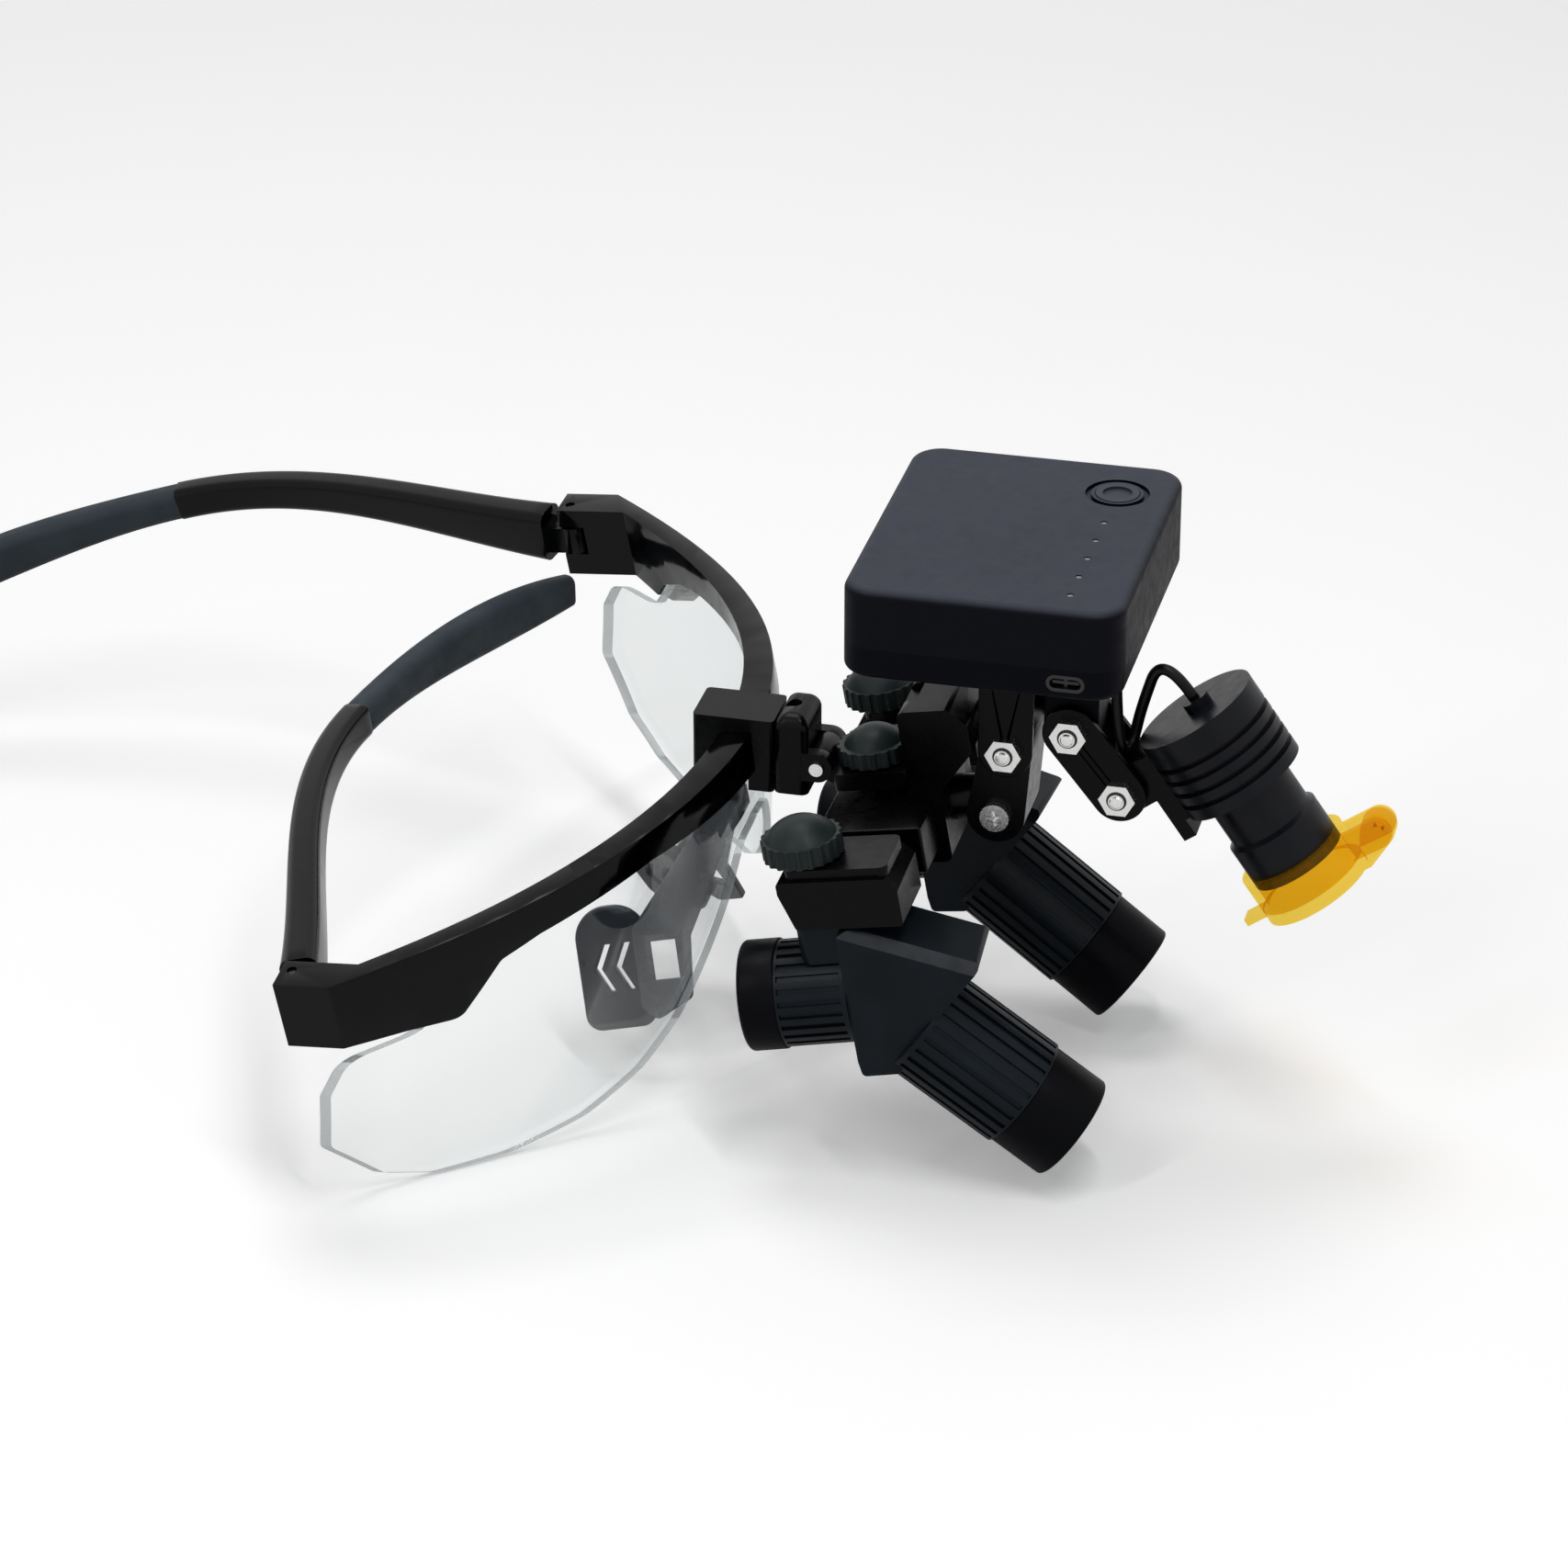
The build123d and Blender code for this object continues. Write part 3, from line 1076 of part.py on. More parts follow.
def lead_tube(points, name):
    """The lead, along straight runs joined by tangent arcs."""
    radii = []
    for before, corner, after in zip(points, points[1:], points[2:]):
        first = Vector(*corner) - Vector(*before)
        second = Vector(*after) - Vector(*corner)
        turn = radians(first.get_angle(second))
        before_room = first.length * (0.9 if before is points[0] else 0.45)
        after_room = second.length * (0.9 if after is points[-1] else 0.45)
        radii.append(min(8.0, min(before_room, after_room) / tan(turn / 2)))
    print(name, "bend radii", [round(value, 1) for value in radii])
    with BuildPart() as tube:
        with BuildLine() as path:
            FilletPolyline(*points, radius=radii)
        with BuildSketch(Plane(path.line @ 0, z_dir=path.line % 0)):
            Circle(LEAD_R)
        sweep(path=path.line)
    return tube.part


gland = Vector(0, LAMP_Y - GLAND_REACH * sin(lamp_down) + GLAND_HIGH * cos(lamp_down),
               LAMP_Z + GLAND_REACH * cos(lamp_down) + GLAND_HIGH * sin(lamp_down))
GLAND_BACK = (0, cos(lamp_down), sin(lamp_down))
above_gland = gland + Vector(*GLAND_BACK) * LEAD_RISE
with BuildPart() as boot:
    with BuildSketch(Plane(BOOT_TOP, z_dir=(0, 0, -1))):
        Circle(BOOT_R)
    with BuildSketch(Plane(BOOT_END, z_dir=(0, 0, -1))):
        Circle(LEAD_R + 0.1)
    loft()
keep(boot.part, "lead_upper")
lead_route = [LEAD_START] + LEAD_DOWN + [LEAD_TURN_BACK, LEAD_TURN_FRONT] + LEAD_UP + [tuple(above_gland), tuple(gland)]
keep(lead_tube(lead_route, "lead_lower"), "lead_lower")

# Stand the whole on z = 0 with the origin at the middle of its footprint
whole = Compound(children=[piece.moved(LEVEL) for piece in pieces]).bounding_box()
ORIGIN = Vector((whole.min.X + whole.max.X) / 2, (whole.min.Y + whole.max.Y) / 2, whole.min.Z)
HOME = Location((-ORIGIN.X, -ORIGIN.Y, -ORIGIN.Z))

os.makedirs("parts", exist_ok=True)
for piece in pieces:
    name = piece.label
    placed = piece.moved(HOME)
    placed.label = name
    export_step(placed, "parts/" + name + ".step")
print(len(pieces), "pieces; size", whole.size)
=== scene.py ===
import json
from math import acos, cos, hypot, pi, radians, sin, tan

import bpy
from mathutils import Matrix, Vector


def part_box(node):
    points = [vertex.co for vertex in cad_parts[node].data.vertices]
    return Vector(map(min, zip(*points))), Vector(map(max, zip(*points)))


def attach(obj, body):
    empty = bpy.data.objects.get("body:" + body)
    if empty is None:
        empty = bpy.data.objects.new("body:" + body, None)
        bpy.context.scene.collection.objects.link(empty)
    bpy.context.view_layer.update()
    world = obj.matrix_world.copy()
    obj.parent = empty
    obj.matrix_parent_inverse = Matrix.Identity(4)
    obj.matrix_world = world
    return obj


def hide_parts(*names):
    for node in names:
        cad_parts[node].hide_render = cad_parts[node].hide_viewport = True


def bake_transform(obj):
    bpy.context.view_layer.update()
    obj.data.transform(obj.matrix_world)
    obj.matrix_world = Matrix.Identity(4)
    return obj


# Looks for a pair of prismatic dental loupes with a headlight. Metres, in the CAD's own frame.
# Order: camera values, materials, carried-over pieces, lens, nose piece, lead, nuts, floor and light, camera.

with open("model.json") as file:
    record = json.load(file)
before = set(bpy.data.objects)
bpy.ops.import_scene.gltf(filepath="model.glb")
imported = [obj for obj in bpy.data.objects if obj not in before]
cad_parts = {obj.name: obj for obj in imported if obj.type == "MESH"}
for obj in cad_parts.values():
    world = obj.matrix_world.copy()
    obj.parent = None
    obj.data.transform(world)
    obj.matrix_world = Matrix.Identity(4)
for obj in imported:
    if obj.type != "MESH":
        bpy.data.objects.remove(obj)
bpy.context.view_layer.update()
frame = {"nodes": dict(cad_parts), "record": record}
nodes = frame["nodes"]
MM = 0.001

# Camera: seen from the wearer's right and above, as in the photograph
PHOTO_SIZE = 1707
PHOTO_FOCAL = 6500
CAMERA_AZIMUTH = -76.34
CAMERA_ELEVATION = 27.34
CAMERA_FROM_BOX = (-811.1, -160.7, 383.2)
SENSOR = 36.0


# Materials

def new_material(name):
    """An empty material with its shader and output, ready for more nodes."""
    material = bpy.data.materials.new(name)
    material.use_nodes = True
    tree = material.node_tree
    tree.nodes.clear()
    shader = tree.nodes.new("ShaderNodeBsdfPrincipled")
    output = tree.nodes.new("ShaderNodeOutputMaterial")
    tree.links.new(shader.outputs["BSDF"], output.inputs["Surface"])
    return material, tree, shader


def noise(tree, size_mm, detail=3.0, distortion=0.0):
    """Noise whose grains are about size_mm across, fixed to the object."""
    place = tree.nodes.new("ShaderNodeTexCoord")
    texture = tree.nodes.new("ShaderNodeTexNoise")
    texture.inputs["Scale"].default_value = 1.0 / (size_mm * MM)
    texture.inputs["Detail"].default_value = detail
    texture.inputs["Distortion"].default_value = distortion
    tree.links.new(place.outputs["Object"], texture.inputs["Vector"])
    return texture


def between(tree, factor, low, high, start=0.3, end=0.7):
    """A ramp from low to high as factor goes from start to end."""
    ramp = tree.nodes.new("ShaderNodeMapRange")
    ramp.inputs["From Min"].default_value = start
    ramp.inputs["From Max"].default_value = end
    ramp.inputs["To Min"].default_value = low
    ramp.inputs["To Max"].default_value = high
    tree.links.new(factor, ramp.inputs["Value"])
    return ramp.outputs["Result"]


def blend_colour(tree, factor, dark, light):
    """A mix of two colours by factor."""
    mix = tree.nodes.new("ShaderNodeMix")
    mix.data_type = "RGBA"
    mix.inputs["A"].default_value = (*dark, 1)
    mix.inputs["B"].default_value = (*light, 1)
    tree.links.new(factor, mix.inputs["Factor"])
    return mix.outputs["Result"]


def bump(tree, height, strength, depth_mm, shader):
    """Relief on the shader's surface, depth_mm deep where height is one."""
    node = tree.nodes.new("ShaderNodeBump")
    node.inputs["Strength"].default_value = strength
    node.inputs["Distance"].default_value = depth_mm * MM
    tree.links.new(height, node.inputs["Height"])
    tree.links.new(node.outputs["Normal"], shader.inputs["Normal"])
    return node


def moulded(name, dark, light, rough=(0.4, 0.55), grain_mm=0.35, grain=0.25, cloud_mm=9.0, ior=1.5,
            sides=None):
    """Moulded or anodised surface: a slow colour cloud, a fine grain and handling marks in its gloss.

    Where sides is given, the faces that don't look up have that colour as painted shade, and the faces that
    look up keep the lighter colour as if lit from above.
    """
    material, tree, shader = new_material(name)
    cloud = noise(tree, cloud_mm, 4.0)
    colour = blend_colour(tree, between(tree, cloud.outputs["Fac"], 0, 1), dark, light)
    # Painted shade: the colour darkens from the top to the sides as the faces turn away from looking up.
    if sides:
        facing = tree.nodes.new("ShaderNodeSeparateXYZ")
        tree.links.new(tree.nodes.new("ShaderNodeTexCoord").outputs["Normal"], facing.inputs["Vector"])
        painted_side_shade = blend_colour(tree, between(tree, facing.outputs["Z"], 0, 1, 0.45, 0.95), sides, light)
        tree.links.new(colour, painted_side_shade.node.inputs["B"])
        colour = painted_side_shade
    tree.links.new(colour, shader.inputs["Base Color"])
    marks = noise(tree, 2.4, 6.0, 0.6)
    tree.links.new(between(tree, marks.outputs["Fac"], rough[0], rough[1]), shader.inputs["Roughness"])
    fine = noise(tree, grain_mm, 2.0)
    bump(tree, fine.outputs["Fac"], grain, 0.03, shader)
    shader.inputs["IOR"].default_value = ior
    return material


def plated(name, colour, rough=(0.18, 0.34)):
    """Bright plated metal with fine turning marks."""
    material, tree, shader = new_material(name)
    cloud = noise(tree, 1.2, 3.0)
    tone = blend_colour(tree, cloud.outputs["Fac"], tuple(0.86 * c for c in colour), colour)
    tree.links.new(tone, shader.inputs["Base Color"])
    tree.links.new(between(tree, noise(tree, 0.25).outputs["Fac"], *rough), shader.inputs["Roughness"])
    shader.inputs["Metallic"].default_value = 1.0
    bump(tree, noise(tree, 0.15, 1.0).outputs["Fac"], 0.05, 0.01, shader)
    return material


def partly_clear(tree, shader, colour, share):
    """Let light through, tinted by colour. Share, a number or a socket, is how much of the shader is seen."""
    output = next(node for node in tree.nodes if node.type == "OUTPUT_MATERIAL")
    through = tree.nodes.new("ShaderNodeBsdfTransparent")
    tree.links.new(colour, through.inputs["Color"])
    mix = tree.nodes.new("ShaderNodeMixShader")
    if isinstance(share, float):
        mix.inputs["Fac"].default_value = share
    else:
        tree.links.new(share, mix.inputs["Fac"])
    tree.links.new(through.outputs["BSDF"], mix.inputs[1])
    tree.links.new(shader.outputs["BSDF"], mix.inputs[2])
    tree.links.new(mix.outputs["Shader"], output.inputs["Surface"])


def glassy(name, tint, clear=0.9, rough=0.03, tinted_edge=(0.5, 0.55, 0.55), slack=1.6):
    """Thin clear sheet: mostly see-through, with gloss that grows at a slant."""
    material, tree, shader = new_material(name)
    cloud = noise(tree, 14.0, 2.0)
    tree.links.new(between(tree, cloud.outputs["Fac"], rough, rough * 2.2), shader.inputs["Roughness"])
    tree.links.new(blend_colour(tree, cloud.outputs["Fac"], tint, tuple(min(1, c * 1.04) for c in tint)),
                   shader.inputs["Base Color"])
    shader.inputs["Metallic"].default_value = 1.0
    slant = tree.nodes.new("ShaderNodeLayerWeight")
    slant.inputs["Blend"].default_value = 0.22
    edge = blend_colour(tree, slant.outputs["Facing"], tint, tinted_edge)
    partly_clear(tree, shader, edge, between(tree, slant.outputs["Fresnel"], 1 - clear, 1.0, 0.0, slack))
    return material


def tinted(name, colour, rough=0.15, through=0.75, ior=1.49):
    """Translucent coloured plastic."""
    material, tree, shader = new_material(name)
    cloud = noise(tree, 6.0, 2.0)
    tree.links.new(blend_colour(tree, cloud.outputs["Fac"], tuple(0.85 * c for c in colour), colour),
                   shader.inputs["Base Color"])
    tree.links.new(between(tree, cloud.outputs["Fac"], rough, rough * 1.6), shader.inputs["Roughness"])
    shader.inputs["Transmission Weight"].default_value = through
    shader.inputs["IOR"].default_value = ior
    return material


def clear_colour(name, body, wall, through, rough=0.12):
    """Clear coloured plastic: each face lets a share of the light through, tinted by wall, and shows body."""
    material, tree, shader = new_material(name)
    cloud = noise(tree, 5.0, 2.0)
    tone = blend_colour(tree, cloud.outputs["Fac"], tuple(0.85 * c for c in body), body)
    tree.links.new(tone, shader.inputs["Base Color"])
    tree.links.new(between(tree, cloud.outputs["Fac"], rough, rough * 1.6), shader.inputs["Roughness"])
    passing = blend_colour(tree, cloud.outputs["Fac"], wall, tuple(min(1, 1.02 * c) for c in wall))
    partly_clear(tree, shader, passing, 1.0 - through)
    return material


MOULDED = {
    "frame_gloss": dict(dark=(0.0003, 0.0004, 0.0008), light=(0.0006, 0.0008, 0.0014), rough=(0.09, 0.14),
                        grain_mm=0.5, grain=0.02, ior=1.25),
    "soft_grip": dict(dark=(0.026, 0.035, 0.043), light=(0.04, 0.052, 0.063), rough=(0.5, 0.66),
                      grain_mm=0.3, grain=0.5, ior=1.25),
    "satin_black": dict(dark=(0.0006, 0.0007, 0.0011), light=(0.0014, 0.0016, 0.0022), rough=(0.22, 0.32),
                        grain_mm=0.3, grain=0.15, ior=1.2),
    "knob_black": dict(dark=(0.012, 0.018, 0.018), light=(0.02, 0.028, 0.028), rough=(0.36, 0.48),
                       grain_mm=0.25, grain=0.3, ior=1.25),
    "bezel_black": dict(dark=(0.0007, 0.0008, 0.0018), light=(0.0016, 0.002, 0.0035), rough=(0.34, 0.44),
                        grain_mm=0.2, grain=0.15, ior=1.15),
    "ocular_black": dict(dark=(0.003, 0.0055, 0.0085), light=(0.007, 0.012, 0.017), rough=(0.28, 0.38),
                         grain_mm=0.22, grain=0.18, ior=1.22),
    # case_grey's sides colour is painted shade on the faces that don't look up; its top keeps the lighter
    # colour as if lit.
    "case_grey": dict(dark=(0.036, 0.040, 0.056), light=(0.043, 0.047, 0.065), rough=(0.46, 0.56),
                      grain_mm=0.22, grain=0.3, cloud_mm=30.0, ior=1.18, sides=(0.0006, 0.0009, 0.0035)),
    "case_navy": dict(dark=(0.0004, 0.0006, 0.0026), light=(0.0009, 0.0013, 0.004), rough=(0.4, 0.52),
                      grain_mm=0.22, grain=0.25, ior=1.15),
    "button_grey": dict(dark=(0.032, 0.035, 0.049), light=(0.039, 0.043, 0.059), rough=(0.42, 0.5),
                        ior=1.25),
    "light_windows": dict(dark=(0.25, 0.27, 0.26), light=(0.36, 0.38, 0.37), rough=(0.2, 0.3)),
    "port_black": dict(dark=(0.002, 0.0022, 0.003), light=(0.004, 0.0044, 0.006), rough=(0.25, 0.4)),
    "cell_wrap": dict(dark=(0.05, 0.09, 0.2), light=(0.08, 0.12, 0.26), rough=(0.2, 0.3)),
    "board_green": dict(dark=(0.01, 0.08, 0.04), light=(0.02, 0.12, 0.06), rough=(0.3, 0.4)),
    "lamp_black": dict(dark=(0.003, 0.0034, 0.006), light=(0.0065, 0.0074, 0.011), rough=(0.26, 0.36),
                       grain_mm=0.2, grain=0.18, ior=1.25),
    "emitter_yellow": dict(dark=(0.7, 0.6, 0.15), light=(0.85, 0.72, 0.25), rough=(0.4, 0.5)),
    "lead_black": dict(dark=(0.001, 0.0012, 0.0016), light=(0.002, 0.0024, 0.003), rough=(0.34, 0.46),
                       grain_mm=0.4, grain=0.2, ior=1.28),
}
looks = {name: moulded(name, **look) for name, look in MOULDED.items()}
looks["bright_fixings"] = plated("bright_fixings", (0.86, 0.86, 0.85))
looks["clear_lens"] = glassy("clear_lens", (0.985, 0.99, 0.99), 0.99, 0.02, (0.86, 0.88, 0.88), 4.0)
looks["optic_glass"] = glassy("optic_glass", (0.55, 0.68, 0.75), 0.55, 0.02, (0.2, 0.3, 0.4))
looks["lamp_glass"] = glassy("lamp_glass", (0.9, 0.94, 0.96), 0.8)
looks["nose_plastic"] = tinted("nose_plastic", (0.09, 0.10, 0.12), 0.2, 0.35)
looks["pad_smoke"] = tinted("pad_smoke", (0.014, 0.018, 0.026), 0.25, 0.15, 1.3)
looks["filter_orange"] = clear_colour("filter_orange", (1.0, 0.46, 0.002), (0.99, 0.84, 0.3), 0.86)
for part in frame["record"]["subparts"]:
    node = nodes[part["node"]]
    node.data.materials.clear()
    node.data.materials.append(looks[part["material_slot"]])

# Softened edges on the moulded pieces, each with its width in mm

SOFT_EDGE_MERGE = 0.01
SOFT_EDGE_ANGLE = radians(38)
SOFT_EDGES = {"brow_frame": 0.9, "temple_left": 1.0, "temple_right": 1.0, "temple_tip_left": 0.8,
              "temple_tip_right": 0.8, "clamp_block": 0.4, "knuckle": 0.3, "hinge_arm": 0.4,
              "slide_tower": 0.5, "neck_block": 0.4, "pd_bar": 0.4, "carriage_left": 0.5,
              "carriage_right": 0.5, "lamp_mount": 0.3, "tilt_bracket": 0.25, "link_plates": 0.2,
              "prism_housing_left": 0.4, "prism_housing_right": 0.4, "objective_bezel_left": 0.3,
              "objective_bezel_right": 0.3, "eyepiece_ring_left": 0.3, "eyepiece_ring_right": 0.3,
              "filter_lid": 0.25, "filter_collar": 0.2}
for name, width in SOFT_EDGES.items():
    weld = nodes[name].modifiers.new("weld", "WELD")
    weld.merge_threshold = SOFT_EDGE_MERGE * MM
    soft = nodes[name].modifiers.new("soft_edge", "BEVEL")
    soft.width = width * MM
    soft.segments = 3
    soft.limit_method = "ANGLE"
    soft.angle_limit = SOFT_EDGE_ANGLE
    soft.harden_normals = True

# Shared mesh helpers

def mesh_piece(name, verts, faces, materials, body, smooth=True):
    """A mesh object made of vertices and faces in metres, riding on a body when one is given."""
    mesh = bpy.data.meshes.new(name)
    mesh.from_pydata([tuple(v) for v in verts], [], faces)
    mesh.validate()
    for material in materials:
        mesh.materials.append(material)
    for face in mesh.polygons:
        face.use_smooth = smooth
    piece = bpy.data.objects.new(name, mesh)
    bpy.context.scene.collection.objects.link(piece)
    if body:
        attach(piece, body)
    return piece


def rounded(points, radius, steps=6):
    """A closed or open outline with each inner corner turned into an arc."""
    out = [Vector(points[0])]
    for before, corner, after in zip(points, points[1:], points[2:]):
        before, corner, after = Vector(before), Vector(corner), Vector(after)
        into, away = (before - corner).normalized(), (after - corner).normalized()
        half = acos(max(-1, min(1, into.dot(away)))) / 2
        reach = min(radius / tan(half), 0.45 * min((before - corner).length, (after - corner).length))
        arc = reach * tan(half)
        middle = corner + (into + away).normalized() * hypot(arc, reach)
        start, end = corner + into * reach - middle, corner + away * reach - middle
        turn = start.angle_signed(end) if arc > 0 else 0
        for i in range(steps + 1):
            angle = -turn * i / steps
            out.append(middle + Vector((start.x * cos(angle) - start.y * sin(angle),
                                        start.x * sin(angle) + start.y * cos(angle))))
    out.append(Vector(points[-1]))
    return out


def cut_plate(name, outlines, thick, edge, place, material, body):
    """A flat plate with holes: the first outline is its rim, the others its openings."""
    curve = bpy.data.curves.new(name + "_outline", "CURVE")
    curve.dimensions = "2D"
    curve.fill_mode = "BOTH"
    curve.extrude = (thick / 2 - edge) * MM
    curve.bevel_depth = edge * MM
    curve.bevel_resolution = 3
    curve.offset = -edge * MM
    for outline in outlines:
        spline = curve.splines.new("POLY")
        spline.points.add(len(outline) - 1)
        for point, (x, y) in zip(spline.points, outline):
            point.co = (x * MM, y * MM, 0, 1)
        spline.use_cyclic_u = True
    source = bpy.data.objects.new(name + "_source", curve)
    bpy.context.scene.collection.objects.link(source)
    bpy.context.view_layer.update()
    mesh = bpy.data.meshes.new_from_object(source.evaluated_get(bpy.context.evaluated_depsgraph_get()))
    bpy.data.objects.remove(source)
    mesh.transform(place)
    mesh.materials.clear()
    mesh.materials.append(material)
    piece = bpy.data.objects.new(name, mesh)
    bpy.context.scene.collection.objects.link(piece)
    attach(piece, body)
    return piece


# The glasses' own frame, from the two temple hinges: x across, y back, z up, in metres

joints = {joint["name"]: joint for joint in frame["record"]["behaviour"]["joints"]}
HINGE_Y = -0.6
hinge_left = Vector(joints["temple_fold_left"]["pos_m"])
hinge_right = Vector(joints["temple_fold_right"]["pos_m"])
across = (hinge_left - hinge_right).normalized()
upward = Vector(joints["temple_fold_left"]["axis"]).normalized()
backward = upward.cross(across)
middle = (hinge_left + hinge_right) / 2 - backward * HINGE_Y * MM
GLASSES = Matrix.Translation(middle) @ Matrix((across, backward, upward)).transposed().to_4x4()

# Lens: one wrapped sheet with a rounded outline and a darker cut edge

LENS_DEPTH = 54.0
LENS_WRAP_HALF = 72.8
LENS_THICK = 1.3
LENS_TOP = 2.4
LENS_LEAN = tan(radians(7.0))
LENS_BELLY = 0.0021
LENS_COLUMNS = 150
LENS_ROWS = 22
LENS_CORNER = 3.0
LENS_OUTLINE = [(0, 5.4), (30, 6), (48, 2), (56, -3), (59, -9.6), (66.7, -10.4), (68.5, -16), (68.5, -26),
                (63, -35), (57, -39.2), (48, -41.4), (38, -41.4), (29, -38.4), (22, -33), (11, -18), (6, -10),
                (0, -9)]
lens_edge = glassy("lens_edge", (0.55, 0.57, 0.58), 0.55, 0.08, (0.3, 0.32, 0.33))


def lens_point(x, z, depth):
    """A point of the lens in the glasses' frame, depth in from its front face."""
    wrap = -(LENS_DEPTH - depth) * (1 - (x / (LENS_WRAP_HALF - depth)) ** 2)
    drop = LENS_TOP - z
    return Vector((x, wrap + LENS_LEAN * drop + LENS_BELLY * max(0, drop) ** 2, z))


def span_at(outline, x):
    """Lowest and highest z of a closed outline at x."""
    found = []
    for a, b in zip(outline, outline[1:] + outline[:1]):
        if a.x != b.x and min(a.x, b.x) <= x <= max(a.x, b.x):
            found.append(a.y + (b.y - a.y) * (x - a.x) / (b.x - a.x))
    return min(found), max(found)


def wrapped_lens():
    """The lens as a closed sheet: front and back grids joined round the rim."""
    half = rounded(LENS_OUTLINE, LENS_CORNER)
    reach = max(point.x for point in half)
    outline = half + [Vector((-point.x, point.y)) for point in reversed(half)]
    columns = []
    for i in range(LENS_COLUMNS + 1):
        x = (reach - 0.01) * sin(pi * (i / LENS_COLUMNS - 0.5))
        low, high = span_at(outline, x)
        columns.append([(x, low + (high - low) * j / LENS_ROWS) for j in range(LENS_ROWS + 1)])
    verts, faces, rim = [], [], set()
    for depth in (0.0, LENS_THICK):
        for column in columns:
            verts += [GLASSES @ (lens_point(x, z, depth) * MM) for x, z in column]
    wide = LENS_ROWS + 1
    other = wide * (LENS_COLUMNS + 1)
    for i in range(LENS_COLUMNS):
        for j in range(LENS_ROWS):
            a = i * wide + j
            faces.append((a, a + wide, a + wide + 1, a + 1))
            faces.append((a + other, a + other + 1, a + other + wide + 1, a + other + wide))

    def join(a, b):
        """Close the rim between the front and back grids."""
        rim.add(len(faces))
        faces.append((a, b, b + other, a + other))

    for i in range(LENS_COLUMNS):
        join((i + 1) * wide, i * wide)
        join(i * wide + LENS_ROWS, (i + 1) * wide + LENS_ROWS)
    for j in range(LENS_ROWS):
        join(j, j + 1)
        join(LENS_COLUMNS * wide + j + 1, LENS_COLUMNS * wide + j)
    lens = mesh_piece("lens_sheet", verts, faces, [looks["clear_lens"], lens_edge], "glasses")
    for index in rim:
        lens.data.polygons[index].material_index = 1
        lens.data.polygons[index].use_smooth = False
    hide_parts("lens_shield")
    return lens


wrapped_lens()

# Nose piece: slotted pads on windowed wings that meet under the bridge

PAD_X, PAD_Y, PAD_Z = 12.0, -28.0, -31.5
PAD_FACING = Vector((0.86, -0.24, 0.40))
PAD_ALONG = Vector((0.26, 0.94, 0.0))
PAD_THICK = 2.4
PAD_EDGE = 0.5
PAD_OUTLINE = [(0, 10), (5.75, 10), (5.75, -10), (-5.75, -10), (-5.75, 10), (0, 10)]
PAD_CORNER = 5.2
CHEVRONS = (2.6, -0.6)
CHEVRON_HALF = 3.9
CHEVRON_LEAN = 1.86
SLOT_WIDE = 0.9
WING = [(-3.6, 0), (-3.6, 6), (-7, 10), (-17, 22), (-21, 18.5), (-13, 4), (-12, -6), (-6, -9), (-3.6, -7),
        (-3.6, 0)]
WING_CORNER = 1.2
WING_WINDOW = [(-6.4, -2.6), (-10.4, -2.6), (-10.4, 3.8), (-6.4, 3.8)]
WING_THICK = 1.2
WING_EDGE = 0.25
STRAP = [(-50.4, -5), (-46.8, -4), (-42.5, -9.6), (-42.8, -11.6), (-47.5, -12.5), (-50.4, -8.5)]
STRAP_HALF = 2.6
STRAP_EDGE = 0.5


def pad_frame(side, lift):
    """Frame of a pad's nose face, moved out by lift: its x runs back and its y up along the pad."""
    normal = (PAD_FACING * Vector((side, 1, 1))).normalized()
    along = PAD_ALONG * Vector((side, 1, 1))
    along = (along - normal * along.dot(normal)).normalized()
    matrix = Matrix((along, normal.cross(along), normal)).transposed().to_4x4()
    place = Vector((side * PAD_X, PAD_Y, PAD_Z)) + normal * lift
    return GLASSES @ Matrix.Translation(place * MM) @ matrix


def chevron(vertex):
    """Outline of one slot shaped like an arrow head."""
    wide = SLOT_WIDE / 2
    low, tip = vertex - CHEVRON_LEAN, vertex
    return [(low - wide, CHEVRON_HALF), (tip - wide, 0), (low - wide, -CHEVRON_HALF),
            (low + wide, -CHEVRON_HALF), (tip + wide, 0), (low + wide, CHEVRON_HALF)]


for side, hand in ((1, "left"), (-1, "right")):
    rim = rounded(PAD_OUTLINE, PAD_CORNER, 10)[:-1]
    pad = cut_plate("nose_pad_cover_" + hand, [rim] + [chevron(v) for v in CHEVRONS], PAD_THICK, PAD_EDGE,
                    pad_frame(side, PAD_THICK / 2), looks["pad_smoke"], "glasses")
    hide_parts("nose_pad_" + hand)
    wing = [(x, side * y) for x, y in rounded(WING, WING_CORNER)[:-1]]
    window = [(x, side * y) for x, y in WING_WINDOW]
    arm = cut_plate("nose_wing_" + hand, [wing, window], WING_THICK, WING_EDGE,
                    pad_frame(side, PAD_THICK + WING_THICK / 2), looks["nose_plastic"], "glasses")
    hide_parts("nose_bracket")
strap_place = GLASSES @ Matrix(((0, 0, 1), (1, 0, 0), (0, 1, 0))).to_4x4()
strap = cut_plate("nose_strap", [STRAP], 2 * STRAP_HALF, STRAP_EDGE, strap_place, looks["nose_plastic"],
                  "glasses")
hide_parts("nose_bracket")

# Lead: a soft boot under the box, and the lead that loops from it to the lamp

BOOT_TOP = Vector((-2.8, -6.0, 83.3))
BOOT_END = Vector((-2.8, -6.0, 77.0))
BOOT_R = 1.35
LEAD_R = 0.9
LEAD_ROUTE = [(-2.8, -6.0, 76.9), (-2.6, -6.2, 69.6), (-2.5, -7.0, 62.6), (1.7, -8.2, 62.6),
              (1.5, -9.2, 68.5), (0.0, -12.49, 79.53), (0.0, -17.69, 72.18)]
